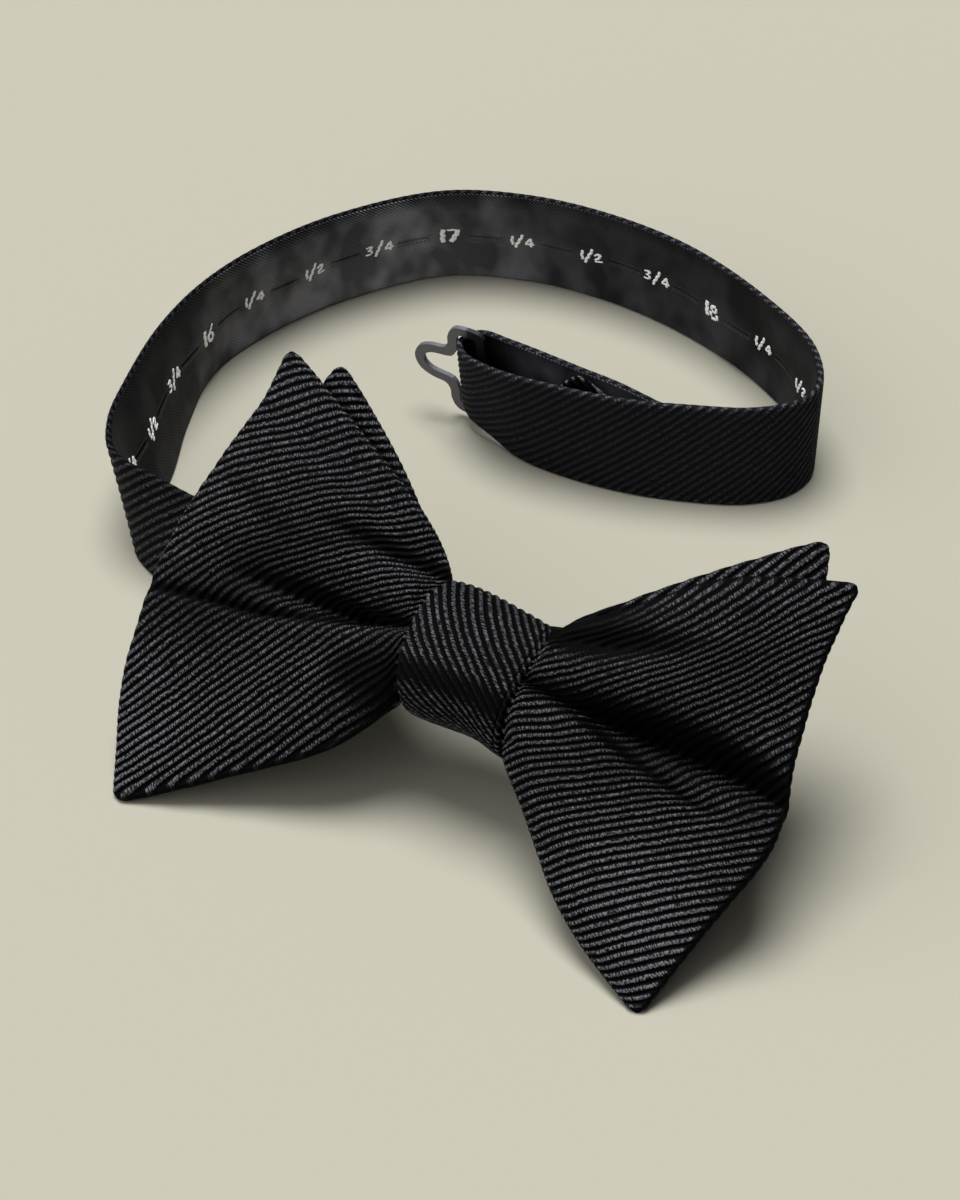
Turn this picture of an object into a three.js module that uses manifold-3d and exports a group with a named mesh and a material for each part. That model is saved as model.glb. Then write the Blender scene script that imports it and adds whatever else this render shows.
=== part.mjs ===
// A pre-tied butterfly bow tie of black ribbed silk, lying on a table.
// The bow leans back on its lower tips and faces -Y. Its neck strap stands on
// its edge and loops behind the bow, towards +Y, to a fold through a flat metal eye.
// Millimetres, +Z up. The origin is the middle of the underside of the whole.
import * as THREE from "three";
import { mergeVertices } from "three/addons/utils/BufferGeometryUtils.js";
import Module from "manifold-3d";

const wasm = await Module();
wasm.setup();

// Moves the modelled pieces so that their common box is centred on the origin
const CENTRE_SHIFT = { x: -0.3, y: 0.48 };

// Driving dimensions of the bow. The lean is in degrees back from upright. A leaf is as
// thick as its rim at the edges and fills out over the rim zone, a share of its width.
const BOW_LEAN = 54;
const BOW_PLACE = { x: 18, y: -74.6, z: 0.25 };
const LEAF_THICKNESS = 2.4;
const RIM_THICKNESS = 1.2;
const RIM_ZONE = 0.2;
const ROOT_REACH = 1.5;
const KNOT_GAP = 0.9;
const STATION_SPREAD = 1.5;

// Driving dimensions of the knot wrap. The powers round its corners, and the flare lifts
// its two rims over its middle. Each rim line gives how far across it is, bottom to top.
const KNOT = { halfHeight: 11.7, front: 9.0, back: 8.6, wall: 1.6, up: 39.0, across: 1.4 };
const KNOT_ROUNDNESS = { front: 2.4, back: 4.5, side: 2.8 };
const KNOT_FLARE = { middle: -0.2, rise: 0.5, roll: 0.6 };
const KNOT_FACETS = { around: 32, along: 8 };
const KNOT_LEFT_RIM = [-7.2, -7.4, -6.9, -6.2, -4.6];
const KNOT_RIGHT_RIM = [9.9, 10.2, 10.3, 9.8, 7.8];

// Driving dimensions of the neck strap and of the size tape on its inner face
const BAND_THICKNESS = 1.1;
const TAPE_THICKNESS = 1.0;
const LAYER_GAP = 0.3;
const TAPE_MARGIN = 1.3;
const STRAP_STEP = 3;
const SLOT = { length: 5.2, height: 0.7, spacing: 13, count: 17, firstAt: 21.9 };

// Driving dimensions of the metal pieces and of the fabric tab between the folded layers
const PLATE_THICKNESS = 0.8;
const EYE = { x: -25.0, y: 31.1, z: 10.9, lean: 5.5 };
const SLOT_HOOK = { x: 11.5, y: 33.1, z: 10, shank: 5, bar: 9, length: 6.5, barLength: 2 };
const STUB_HOOK = { x: 52.9, y: -33.0, z: 9.7, lean: 17.5, shank: 5, bar: 13, length: 9, barLength: 2 };
const TAB = { x: 0, y: 28.45, z: 15, turn: 8, lean: 2.8, thickness: 1.0 };

// Half outlines of the flat eye, from its straight bar to the tip of its nose. out is
// away from the strap and up is from the middle of its height.
const EYE_OUTER = [
  { out: -4.2, up: 8.6 },
  { out: -3.2, up: 9.6 },
  { out: 0.2, up: 9.6 },
  { out: 1.9, up: 8.8 },
  { out: 2.7, up: 7.0 },
  { out: 2.8, up: 5.3 },
  { out: 3.7, up: 4.0 },
  { out: 6.2, up: 3.6 },
  { out: 8.5, up: 2.4 },
  { out: 9.4, up: 0.0 },
];
const EYE_INNER = [
  { out: -2.7, up: 7.4 },
  { out: -2.2, up: 8.0 },
  { out: 0.2, up: 8.0 },
  { out: 1.0, up: 7.0 },
  { out: 1.1, up: 4.8 },
  { out: 2.2, up: 2.6 },
  { out: 5.6, up: 2.0 },
  { out: 7.2, up: 1.2 },
  { out: 7.7, up: 0.0 },
];
const TAB_OUTLINE = [
  { along: -5.5, up: -6.0 },
  { along: 5.5, up: -6.0 },
  { along: 5.5, up: 1.8 },
  { along: -0.8, up: 5.5 },
  { along: -2.6, up: 5.4 },
  { along: -5.5, up: 2.0 },
];

const SILK = { color: 0x15151a, roughness: 0.62, metalness: 0 };
const TAPE_SILK = { color: 0x1b1b1f, roughness: 0.45, metalness: 0 };
const GUNMETAL = { color: 0x55555c, roughness: 0.38, metalness: 0.9 };

// Each row is one fold line of a leaf, from its lower edge to its upper edge. It crosses
// four stations: the knot's rim, a fifth of the way out, just over half, and the outer
// edge. edge is how far out the line ends; up and out are its place at each station.
const LEFT_FRONT_FOLDS = [
  { name: "lower edge", edge: 45.3, up: [30.2, 19.4, 10.6, 0.5], out: [2.0, 1.2, 0.4, 0.0] },
  { name: "lower belly", edge: 51.4, up: [32.6, 26.5, 20.5, 16.5], out: [4.6, 6.2, 5.0, 1.2] },
  { name: "lower shoulder", edge: 53.4, up: [35.4, 33.8, 31.5, 28.5], out: [5.2, 6.0, 4.6, 0.9] },
  { name: "crease", edge: 54.0, up: [37.6, 39.8, 37.0, 34.0], out: [3.4, 1.6, 0.4, -0.5] },
  { name: "valley", edge: 53.8, up: [39.2, 41.2, 41.0, 39.5], out: [3.2, 1.4, 1.4, 0.3] },
  { name: "brow", edge: 52.2, up: [41.6, 44.4, 46.0, 46.5], out: [5.8, 7.0, 5.6, 1.4] },
  { name: "dip", edge: 50.4, up: [44.4, 48.8, 54.5, 57.5], out: [4.8, 4.4, 3.6, 1.2] },
  { name: "upper belly", edge: 49.0, up: [46.4, 52.8, 59.5, 66.0], out: [4.4, 5.2, 4.6, 1.0] },
  { name: "upper edge", edge: 47.4, up: [48.2, 57.2, 65.0, 73.6], out: [2.0, 2.0, 1.6, 0.2] },
];
const RIGHT_FRONT_FOLDS = [
  { name: "lower edge", edge: 45.0, up: [30.2, 21.0, 9.0, 0.5], out: [2.0, 1.2, 0.4, 0.0] },
  { name: "lower belly", edge: 49.6, up: [32.6, 27.0, 19.0, 15.0], out: [4.6, 6.4, 5.4, 1.4] },
  { name: "lower shoulder", edge: 52.4, up: [35.4, 33.6, 28.6, 25.5], out: [5.4, 6.8, 5.8, 1.6] },
  { name: "crease", edge: 53.0, up: [37.4, 37.4, 33.4, 30.5], out: [4.0, 2.6, 1.2, -0.4] },
  { name: "valley", edge: 52.6, up: [38.8, 39.2, 38.0, 35.6], out: [3.2, 0.6, -0.8, -1.6] },
  { name: "brow", edge: 51.6, up: [41.4, 42.6, 43.4, 42.6], out: [5.8, 7.0, 6.4, 2.6] },
  { name: "dip", edge: 50.8, up: [44.2, 47.6, 52.0, 55.0], out: [4.6, 4.2, 3.2, 1.8] },
  { name: "upper belly", edge: 50.4, up: [46.4, 50.6, 57.0, 63.5], out: [4.4, 4.8, 4.6, 1.6] },
  { name: "upper edge", edge: 50.0, up: [48.2, 52.6, 62.2, 69.4], out: [2.0, 2.0, 2.0, 0.6] },
];
const LEFT_BACK_FOLDS = [
  { name: "lower edge", edge: 41.0, up: [30.4, 24.0, 15.6, 9.8], out: [0.2, -2.4, -4.8, -6.2] },
  { name: "lower belly", edge: 46.6, up: [34.6, 31.4, 27.4, 23.0], out: [-0.2, -1.8, -4.2, -5.8] },
  { name: "middle", edge: 49.0, up: [39.2, 39.8, 40.0, 40.0], out: [-0.2, -2.8, -4.8, -6.2] },
  { name: "upper belly", edge: 46.6, up: [43.8, 48.8, 55.0, 60.0], out: [-0.2, -1.6, -3.2, -4.8] },
  { name: "upper edge", edge: 42.4, up: [48.0, 54.8, 64.8, 75.0], out: [0.2, -1.6, -3.2, -4.6] },
];
const RIGHT_BACK_FOLDS = [
  { name: "lower edge", edge: 41.0, up: [30.4, 24.0, 15.6, 9.8], out: [0.2, -2.4, -4.8, -6.2] },
  { name: "lower belly", edge: 46.6, up: [34.6, 31.4, 27.4, 23.0], out: [-0.2, -1.8, -4.2, -5.8] },
  { name: "middle", edge: 49.0, up: [39.2, 39.8, 40.0, 40.0], out: [-0.2, -2.8, -4.8, -6.2] },
  { name: "upper belly", edge: 46.6, up: [43.8, 47.0, 53.4, 60.0], out: [-0.2, -1.6, -3.2, -4.8] },
  { name: "upper edge", edge: 42.4, up: [48.0, 52.2, 63.8, 75.0], out: [0.2, -1.6, -3.2, -4.6] },
];

// Each row is one section of the neck strap, in order from the short right end, behind
// the knot, round the neck and back to the fold and its tail. x, y and lift place the
// lower edge; overX and overY are how far the upper edge stands over from it.
const STRAP_SECTIONS = [
  { at: "right end", x: 52.5, y: -36.0, lift: 0.0, overX: 0.0, overY: 6.0, width: 20 },
  { at: "right stub", x: 44.5, y: -39.6, lift: 4.4, overX: 0.0, overY: 9.8, width: 20 },
  { at: "right stub", x: 35.0, y: -46.0, lift: 12.4, overX: 0.0, overY: 14.8, width: 19 },
  { at: "right of knot", x: 28.0, y: -47.5, lift: 15.1, overX: 0.0, overY: 14.4, width: 17.8 },
  { at: "left of knot", x: 8.0, y: -47.5, lift: 15.1, overX: 0.0, overY: 14.4, width: 17.8 },
  { at: "left of knot", x: 0.0, y: -46.0, lift: 12.8, overX: 0.0, overY: 14.8, width: 19 },
  { at: "behind left wing", x: -12.0, y: -40.8, lift: 7.2, overX: 0.0, overY: 12.4, width: 20 },
  { at: "behind left wing", x: -26.0, y: -36.0, lift: 2.2, overX: 0.0, overY: 8.8, width: 20 },
  { at: "behind left wing", x: -38.0, y: -32.8, lift: 0.0, overX: 0.0, overY: 5.8, width: 20 },
  { at: "left bend", x: -47.7, y: -28.8, lift: 0.0, overX: -1.0, overY: 2.6, width: 20 },
  { at: "left bend", x: -54.8, y: -24.6, lift: 0.0, overX: -3.2, overY: 0.6, width: 20 },
  { at: "left bend", x: -58.2, y: -16.7, lift: 0.0, overX: -4.8, overY: -0.3, width: 20 },
  { at: "left side", x: -60.4, y: -6.7, lift: 0.0, overX: -5.0, overY: 0.0, width: 20 },
  { at: "left side", x: -65.8, y: 7.3, lift: 0.0, overX: -2.6, overY: 0.0, width: 20 },
  { at: "left side", x: -69.2, y: 20.8, lift: 0.0, overX: 0.2, overY: 0.0, width: 20 },
  { at: "left side", x: -66.8, y: 34.8, lift: 0.0, overX: 0.6, overY: -0.6, width: 20 },
  { at: "back left", x: -60.0, y: 49.8, lift: 0.0, overX: 0.8, overY: -1.2, width: 20 },
  { at: "back", x: -48.0, y: 64.8, lift: 0.0, overX: 1.0, overY: -2.0, width: 20 },
  { at: "back", x: -34.0, y: 70.8, lift: 0.0, overX: 0.4, overY: -2.0, width: 20 },
  { at: "back", x: -19.0, y: 72.4, lift: 0.0, overX: 0.0, overY: -1.6, width: 20 },
  { at: "back right", x: -3.0, y: 70.4, lift: 0.0, overX: 0.0, overY: -1.0, width: 20 },
  { at: "back right", x: 14.0, y: 64.4, lift: 0.0, overX: -0.2, overY: -1.0, width: 20 },
  { at: "back right", x: 27.0, y: 55.4, lift: 0.0, overX: 0.6, overY: -0.4, width: 20 },
  { at: "right bend", x: 32.4, y: 46.2, lift: 0.0, overX: 0.6, overY: -0.2, width: 20 },
  { at: "right bend", x: 31.4, y: 40.2, lift: 0.0, overX: 0.4, overY: 0.4, width: 20 },
  { at: "near side", x: 26.4, y: 34.8, lift: 0.0, overX: 0.0, overY: 0.6, width: 20 },
  { at: "near side", x: 17.0, y: 30.4, lift: 0.0, overX: 0.0, overY: 0.6, width: 20 },
  { at: "near side", x: 7.0, y: 27.6, lift: 0.0, overX: 0.0, overY: -0.4, width: 20 },
  { at: "near side", x: -4.0, y: 26.4, lift: 0.0, overX: 0.0, overY: -1.4, width: 20 },
  { at: "near side", x: -12.0, y: 26.8, lift: 0.3, overX: 0.0, overY: -2.8, width: 19.8 },
  { at: "near fold", x: -17.6, y: 28.2, lift: 1.5, overX: 0.0, overY: -3.4, width: 18 },
  { at: "near fold", x: -22.2, y: 29.8, lift: 2.7, overX: 0.0, overY: -2.8, width: 16 },
  { at: "fold", x: -24.3, y: 32.1, lift: 3.2, overX: 0.0, overY: -2.1, width: 15.2 },
  { at: "fold", x: -22.0, y: 34.4, lift: 2.9, overX: 0.0, overY: -1.8, width: 16 },
  { at: "tail", x: -17.0, y: 34.4, lift: 2.0, overX: 0.0, overY: -2.6, width: 18 },
  { at: "tail", x: -10.0, y: 33.2, lift: 1.0, overX: 0.0, overY: -2.4, width: 19.6 },
  { at: "tail", x: -3.0, y: 31.8, lift: 0.8, overX: 0.0, overY: -1.4, width: 19.6 },
  { at: "tail", x: 4.0, y: 31.4, lift: 1.6, overX: 0.0, overY: -0.6, width: 18 },
  { at: "tail end", x: 11.0, y: 32.7, lift: 3.6, overX: 0.0, overY: 0.0, width: 13 },
];
const TAPE_FROM_SECTION = 6;

// How far inward from the strap's middle surface the faces of its two layers are
const bandOuter = -(BAND_THICKNESS + LAYER_GAP + TAPE_THICKNESS) / 2;
const bandInner = bandOuter + BAND_THICKNESS;
const tapeOuter = bandInner + LAYER_GAP;
const tapeInner = tapeOuter + TAPE_THICKNESS;

const radians = THREE.MathUtils.degToRad;

// One closed solid between an outer and an inner grid of points with the same rows and
// columns. Both grids run the same way; the four sides are closed between them.
function gridSolid(outer, inner) {
  const rows = outer.length;
  const columns = outer[0].length;
  const positions = [];
  for (const grid of [outer, inner]) {
    for (const row of grid) {
      for (const point of row) positions.push(point.x, point.y, point.z);
    }
  }
  const at = (side, row, column) => side * rows * columns + row * columns + column;
  const faces = [];
  const quad = (a, b, c, d) => faces.push(a, b, c, a, c, d);
  for (let i = 0; i < rows - 1; i++) {
    for (let j = 0; j < columns - 1; j++) {
      quad(at(0, i, j), at(0, i, j + 1), at(0, i + 1, j + 1), at(0, i + 1, j));
      quad(at(1, i, j), at(1, i + 1, j), at(1, i + 1, j + 1), at(1, i, j + 1));
    }
  }
  for (let i = 0; i < rows - 1; i++) {
    const last = columns - 1;
    quad(at(0, i, 0), at(0, i + 1, 0), at(1, i + 1, 0), at(1, i, 0));
    quad(at(0, i, last), at(1, i, last), at(1, i + 1, last), at(0, i + 1, last));
  }
  for (let j = 0; j < columns - 1; j++) {
    const last = rows - 1;
    quad(at(0, 0, j), at(1, 0, j), at(1, 0, j + 1), at(0, 0, j + 1));
    quad(at(0, last, j), at(0, last, j + 1), at(1, last, j + 1), at(1, last, j));
  }
  const geometry = new THREE.BufferGeometry();
  geometry.setAttribute("position", new THREE.Float32BufferAttribute(positions, 3));
  geometry.setIndex(faces);
  return outwards(geometry);
}

// Turns a closed mesh the right way out, judged by the sign of its volume.
function outwards(geometry) {
  const index = geometry.index.array;
  const [a, b, c] = [new THREE.Vector3(), new THREE.Vector3(), new THREE.Vector3()];
  const position = geometry.attributes.position;
  let volume = 0;
  for (let i = 0; i < index.length; i += 3) {
    a.fromBufferAttribute(position, index[i]);
    b.fromBufferAttribute(position, index[i + 1]);
    c.fromBufferAttribute(position, index[i + 2]);
    volume += a.dot(b.cross(c));
  }
  if (volume < 0) {
    for (let i = 0; i < index.length; i += 3) {
      [index[i + 1], index[i + 2]] = [index[i + 2], index[i + 1]];
    }
  }
  geometry.computeVertexNormals();
  return geometry;
}

function namedMesh(name, geometry, finish) {
  const mesh = new THREE.Mesh(geometry, new THREE.MeshStandardMaterial(finish));
  mesh.name = name;
  return mesh;
}

// A smooth value through evenly spaced samples, at t from 0 to 1.
function smoothAlong(values, t) {
  const last = values.length - 1;
  const place = Math.min(Math.max(t, 0), 1) * last;
  const i = Math.min(Math.floor(place), last - 1);
  const f = place - i;
  const p1 = values[i];
  const p2 = values[i + 1];
  const p0 = i > 0 ? values[i - 1] : 2 * p1 - p2;
  const p3 = i + 2 <= last ? values[i + 2] : 2 * p2 - p1;
  const bend = 2 * p0 - 5 * p1 + 4 * p2 - p3;
  const turn = 3 * p1 - p0 - 3 * p2 + p3;
  return p1 + 0.5 * f * (p2 - p0 + f * (bend + f * turn));
}

// A point of a leaf's middle surface: reach runs from the knot to the outer edge and
// rise from the lower edge to the upper edge.
function leafPoint(folds, side, reach, rise) {
  const edge = smoothAlong(folds.map((fold) => fold.edge), rise);
  const up = smoothAlong(folds.map((fold) => smoothAlong(fold.up, reach)), rise);
  const out = smoothAlong(folds.map((fold) => smoothAlong(fold.out, reach)), rise);
  const rim = side < 0 ? KNOT_LEFT_RIM : KNOT_RIGHT_RIM;
  const rootUp = smoothAlong(folds.map((fold) => fold.up[0]), rise);
  const root = smoothAlong(rim, 0.5 + (rootUp - KNOT.up) / (2 * KNOT.halfHeight)) + side * KNOT_GAP;
  const across = root + (side * edge - root) * reach ** STATION_SPREAD;
  return new THREE.Vector3(across, up, out);
}

// A padded leaf of the bow: two faces about the middle surface that close to a thin rim.
// Its root carries on inside the knot wrap.
function leafGeometry(folds, side, thickness, rowCount, columnCount) {
  const reaches = [null];
  for (let i = 0; i <= rowCount; i++) reaches.push(i / rowCount);
  const front = [];
  const back = [];
  for (const reach of reaches) {
    const frontRow = [];
    const backRow = [];
    for (let j = 0; j <= columnCount; j++) {
      const rise = j / columnCount;
      const point = leafPoint(folds, side, reach ?? 0, rise);
      if (reach === null) point.x = KNOT.across + side * ROOT_REACH;
      const inside = Math.min(rise, 1 - rise, 1 - (reach ?? 0)) / RIM_ZONE;
      const fill = Math.sqrt(1 - (1 - Math.min(inside, 1)) ** 2);
      const half = 0.5 * (RIM_THICKNESS + (thickness - RIM_THICKNESS) * fill);
      frontRow.push(point.clone().add(new THREE.Vector3(0, 0, half)));
      backRow.push(point.clone().add(new THREE.Vector3(0, 0, -half)));
    }
    front.push(frontRow);
    back.push(backRow);
  }
  return gridSolid(front, back);
}

// The knot: a hollow wrap round the roots of the four leaves and the strap, domed in
// front and flat behind. Its two rims follow their own line from bottom to top.
function knotGeometry() {
  const { around, along } = KNOT_FACETS;
  const loop = (wall, place, flare) => {
    const ring = [];
    for (let i = 0; i < around; i++) {
      const angle = (2 * Math.PI * i) / around;
      const [c, s] = [Math.cos(angle), Math.sin(angle)];
      const power = 2 / (s > 0 ? KNOT_ROUNDNESS.front : KNOT_ROUNDNESS.back);
      const depth = (s > 0 ? KNOT.front : KNOT.back) - wall;
      const up = Math.sign(c) * Math.abs(c) ** (2 / KNOT_ROUNDNESS.side) * (KNOT.halfHeight - wall + flare);
      const out = Math.sign(s) * Math.abs(s) ** power * (depth + (s > 0 ? flare : 0));
      const height = (c + 1) / 2;
      const left = smoothAlong(KNOT_LEFT_RIM, height);
      const right = smoothAlong(KNOT_RIGHT_RIM, height);
      const across = left + (right - left) * place;
      ring.push(new THREE.Vector3(across, KNOT.up + up, out));
    }
    return ring;
  };
  const rings = [];
  for (let i = 0; i <= along; i++) {
    const t = (2 * i) / along - 1;
    const roll = Math.abs(t) === 1 ? KNOT_FLARE.roll : 0;
    rings.push(loop(roll, i / along, KNOT_FLARE.middle + KNOT_FLARE.rise * t * t));
  }
  for (const t of [1, 0.5, 0]) rings.push(loop(KNOT.wall, t, 0));
  const positions = rings.flat().flatMap((point) => [point.x, point.y, point.z]);
  const faces = [];
  for (let i = 0; i < rings.length; i++) {
    const next = (i + 1) % rings.length;
    for (let j = 0; j < around; j++) {
      const k = (j + 1) % around;
      const [a, b] = [i * around + j, i * around + k];
      const [c, d] = [next * around + k, next * around + j];
      faces.push(a, b, c, a, c, d);
    }
  }
  const geometry = new THREE.BufferGeometry();
  geometry.setAttribute("position", new THREE.Float32BufferAttribute(positions, 3));
  geometry.setIndex(faces);
  return outwards(geometry);
}

// The strap's middle surface: for each step along it the lower and upper point, and the
// level direction that points to the inner, taped face.
function strapStations(fromSection, toSection) {
  const rows = STRAP_SECTIONS;
  const lower = rows.map((row) => new THREE.Vector3(row.x, row.y, row.lift));
  const upper = rows.map((row) => {
    const over = row.overX ** 2 + row.overY ** 2;
    const height = Math.sqrt(row.width ** 2 - over);
    return new THREE.Vector3(row.x + row.overX, row.y + row.overY, row.lift + height);
  });
  const lowerCurve = new THREE.CatmullRomCurve3(lower, false, "centripetal");
  const upperCurve = new THREE.CatmullRomCurve3(upper, false, "centripetal");
  const last = rows.length - 1;
  const stations = [];
  for (let i = fromSection; i < toSection; i++) {
    const chord = lower[i].distanceTo(lower[i + 1]);
    const steps = Math.max(2, Math.round(chord / STRAP_STEP));
    for (let k = i === fromSection ? 0 : 1; k <= steps; k++) {
      const t = (i + k / steps) / last;
      const low = lowerCurve.getPoint(t);
      const high = upperCurve.getPoint(t);
      low.z = Math.max(low.z, 0);
      const along = lowerCurve.getTangent(t).add(upperCurve.getTangent(t)).normalize();
      const rise = high.clone().sub(low).normalize();
      const inward = along.clone().cross(rise).normalize();
      stations.push({ low, high, inward });
    }
  }
  return stations;
}

// A band that follows the strap, between two depths inward from its middle surface and
// with a margin left free at both edges. An edge that stands on the table is cut flat.
function bandGeometry(stations, outerDepth, innerDepth, margin) {
  const face = (depth) => stations.map(({ low, high, inward }) => {
    const rise = high.clone().sub(low).normalize();
    const shift = inward.clone().multiplyScalar(depth);
    const bottom = low.clone().addScaledVector(rise, margin).add(shift);
    const top = high.clone().addScaledVector(rise, -margin).add(shift);
    if (margin === 0) bottom.z = low.z;
    return [bottom, top];
  });
  return gridSolid(face(outerDepth), face(innerDepth));
}

function mergedPlain(geometry) {
  const plain = geometry.clone();
  plain.deleteAttribute("normal");
  plain.deleteAttribute("uv");
  return mergeVertices(plain, 1e-4);
}

function toSolid(geometry) {
  const merged = mergedPlain(geometry);
  return new wasm.Manifold(new wasm.Mesh({
    numProp: 3,
    vertProperties: new Float32Array(merged.attributes.position.array),
    triVerts: new Uint32Array(merged.index.array),
  }));
}

function fromSolid(solid) {
  const mesh = solid.getMesh();
  const geometry = new THREE.BufferGeometry();
  geometry.setAttribute("position", new THREE.BufferAttribute(mesh.vertProperties, 3));
  geometry.setIndex(new THREE.BufferAttribute(mesh.triVerts, 1));
  geometry.computeVertexNormals();
  return geometry;
}

// The eye's outline or its opening: the half outline, and its mirror image below.
function mirroredOutline(half) {
  const upper = half.map(({ out, up }) => new THREE.Vector2(-out, up));
  const lower = upper.slice(0, -1).reverse().map((point) => new THREE.Vector2(point.x, -point.y));
  return new THREE.SplineCurve([...upper, ...lower]).getPoints(3 * (upper.length + lower.length));
}

function plateGeometry(shape, thickness) {
  const geometry = new THREE.ExtrudeGeometry(shape, { depth: thickness, bevelEnabled: false });
  geometry.translate(0, 0, -thickness / 2);
  return mergedPlain(geometry);
}

// A flat hook that ends in a cross bar, lying along +X from its root.
function hookShape({ length, shank, bar, barLength }) {
  const neck = length - barLength;
  const outline = [
    [0, -shank / 2], [neck, -shank / 2], [neck, -bar / 2], [length, -bar / 2],
    [length, bar / 2], [neck, bar / 2], [neck, shank / 2], [0, shank / 2],
  ];
  return new THREE.Shape(outline.map(([x, y]) => new THREE.Vector2(x, y)));
}

// Cuts the row of buttonhole slots through the tape, one between each pair of sizes.
function cutSlots(geometry, stations) {
  let solid = toSolid(geometry);
  let travelled = 0;
  let nextAt = SLOT.firstAt;
  let done = 0;
  for (let i = 1; i < stations.length && done < SLOT.count; i++) {
    const from = stationMiddle(stations[i - 1]);
    const to = stationMiddle(stations[i]);
    const step = from.distanceTo(to);
    while (done < SLOT.count && nextAt <= travelled + step) {
      const place = from.clone().lerp(to, (nextAt - travelled) / step);
      const rise = stations[i].high.clone().sub(stations[i].low).normalize();
      const inward = stations[i].inward;
      const along = rise.clone().cross(inward).normalize();
      const turn = new THREE.Matrix4().makeBasis(along, rise, along.clone().cross(rise));
      const cutter = new THREE.BoxGeometry(SLOT.length, SLOT.height, 2 * TAPE_THICKNESS);
      cutter.applyMatrix4(turn);
      cutter.translate(place.x, place.y, place.z);
      solid = solid.subtract(toSolid(cutter));
      done += 1;
      nextAt += SLOT.spacing;
    }
    travelled += step;
  }
  return fromSolid(solid);
}

// The middle of the tape's own thickness at one step of the strap.
function stationMiddle({ low, high, inward }) {
  const middle = low.clone().lerp(high, 0.5);
  return middle.addScaledVector(inward, (tapeOuter + tapeInner) / 2);
}

// The bow's own group: X across, Y up the lean of the bow, Z out of its face.
const bow = new THREE.Group();
bow.position.set(BOW_PLACE.x, BOW_PLACE.y, BOW_PLACE.z);
bow.rotation.x = radians(90 - BOW_LEAN);
const leaves = [
  { name: "left_wing_front", folds: LEFT_FRONT_FOLDS, side: -1, rows: 12, columns: 24 },
  { name: "left_wing_back", folds: LEFT_BACK_FOLDS, side: -1, rows: 9, columns: 12 },
  { name: "right_wing_front", folds: RIGHT_FRONT_FOLDS, side: 1, rows: 12, columns: 24 },
  { name: "right_wing_back", folds: RIGHT_BACK_FOLDS, side: 1, rows: 9, columns: 12 },
];
for (const { name, folds, side, rows, columns } of leaves) {
  bow.add(namedMesh(name, leafGeometry(folds, side, LEAF_THICKNESS, rows, columns), SILK));
}
bow.add(namedMesh("knot_wrap", knotGeometry(), SILK));

const strap = new THREE.Group();
const lastSection = STRAP_SECTIONS.length - 1;
const bandStations = strapStations(0, lastSection);
const tapeStations = strapStations(TAPE_FROM_SECTION, lastSection);
const bandBody = bandGeometry(bandStations, bandOuter, bandInner, 0);
const tapeBody = bandGeometry(tapeStations, tapeOuter, tapeInner, TAPE_MARGIN);
strap.add(namedMesh("neck_strap", bandBody, SILK));
strap.add(namedMesh("size_tape", cutSlots(tapeBody, tapeStations), TAPE_SILK));

const eyeShape = new THREE.Shape(mirroredOutline(EYE_OUTER));
eyeShape.holes.push(new THREE.Path(mirroredOutline(EYE_INNER)));
const eye = namedMesh("eye_plate", plateGeometry(eyeShape, PLATE_THICKNESS), GUNMETAL);
eye.position.set(EYE.x, EYE.y, EYE.z);
eye.rotation.x = radians(90 + EYE.lean);

const slotHook = namedMesh("slot_hook", plateGeometry(hookShape(SLOT_HOOK), PLATE_THICKNESS), GUNMETAL);
slotHook.position.set(SLOT_HOOK.x, SLOT_HOOK.y, SLOT_HOOK.z);
slotHook.rotation.x = radians(90);

const stubHook = namedMesh("stub_hook", plateGeometry(hookShape(STUB_HOOK), PLATE_THICKNESS), GUNMETAL);
stubHook.position.set(STUB_HOOK.x, STUB_HOOK.y, STUB_HOOK.z);
stubHook.rotation.x = radians(90 - STUB_HOOK.lean);

const tabShape = new THREE.Shape(TAB_OUTLINE.map(({ along, up }) => new THREE.Vector2(along, up)));
const tab = namedMesh("end_tab", plateGeometry(tabShape, TAB.thickness), SILK);
tab.rotation.x = radians(90 + TAB.lean);
const tabTurn = new THREE.Group();
tabTurn.position.set(TAB.x, TAB.y, TAB.z);
tabTurn.rotation.z = radians(TAB.turn);
tabTurn.add(tab);

const whole = new THREE.Group();
whole.add(bow, strap, eye, slotHook, stubHook, tabTurn);
whole.position.set(CENTRE_SHIFT.x, CENTRE_SHIFT.y, 0);

export default whole;
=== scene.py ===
"""A pre-tied butterfly bow tie of black ribbed silk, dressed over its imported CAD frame.

Lengths in the tables are millimetres and are scaled to metres where the meshes are made.
The bow has its own frame: x across it, v up its lean and w out of its face.
"""
import math

import bpy
import numpy as np
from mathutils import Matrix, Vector


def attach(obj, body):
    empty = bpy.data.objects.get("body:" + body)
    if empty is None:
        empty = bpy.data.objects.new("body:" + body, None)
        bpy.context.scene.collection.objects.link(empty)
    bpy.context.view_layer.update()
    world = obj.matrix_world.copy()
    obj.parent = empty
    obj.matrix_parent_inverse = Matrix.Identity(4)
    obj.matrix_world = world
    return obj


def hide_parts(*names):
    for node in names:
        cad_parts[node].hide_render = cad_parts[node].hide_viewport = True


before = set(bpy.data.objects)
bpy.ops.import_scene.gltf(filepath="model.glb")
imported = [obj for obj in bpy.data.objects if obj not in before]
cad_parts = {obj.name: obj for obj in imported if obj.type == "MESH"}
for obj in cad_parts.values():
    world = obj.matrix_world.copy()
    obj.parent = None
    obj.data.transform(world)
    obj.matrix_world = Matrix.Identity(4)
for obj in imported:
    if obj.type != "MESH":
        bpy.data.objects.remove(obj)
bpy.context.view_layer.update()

MM = 0.001
FLOOR_CLEARANCE = 0.02

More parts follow.
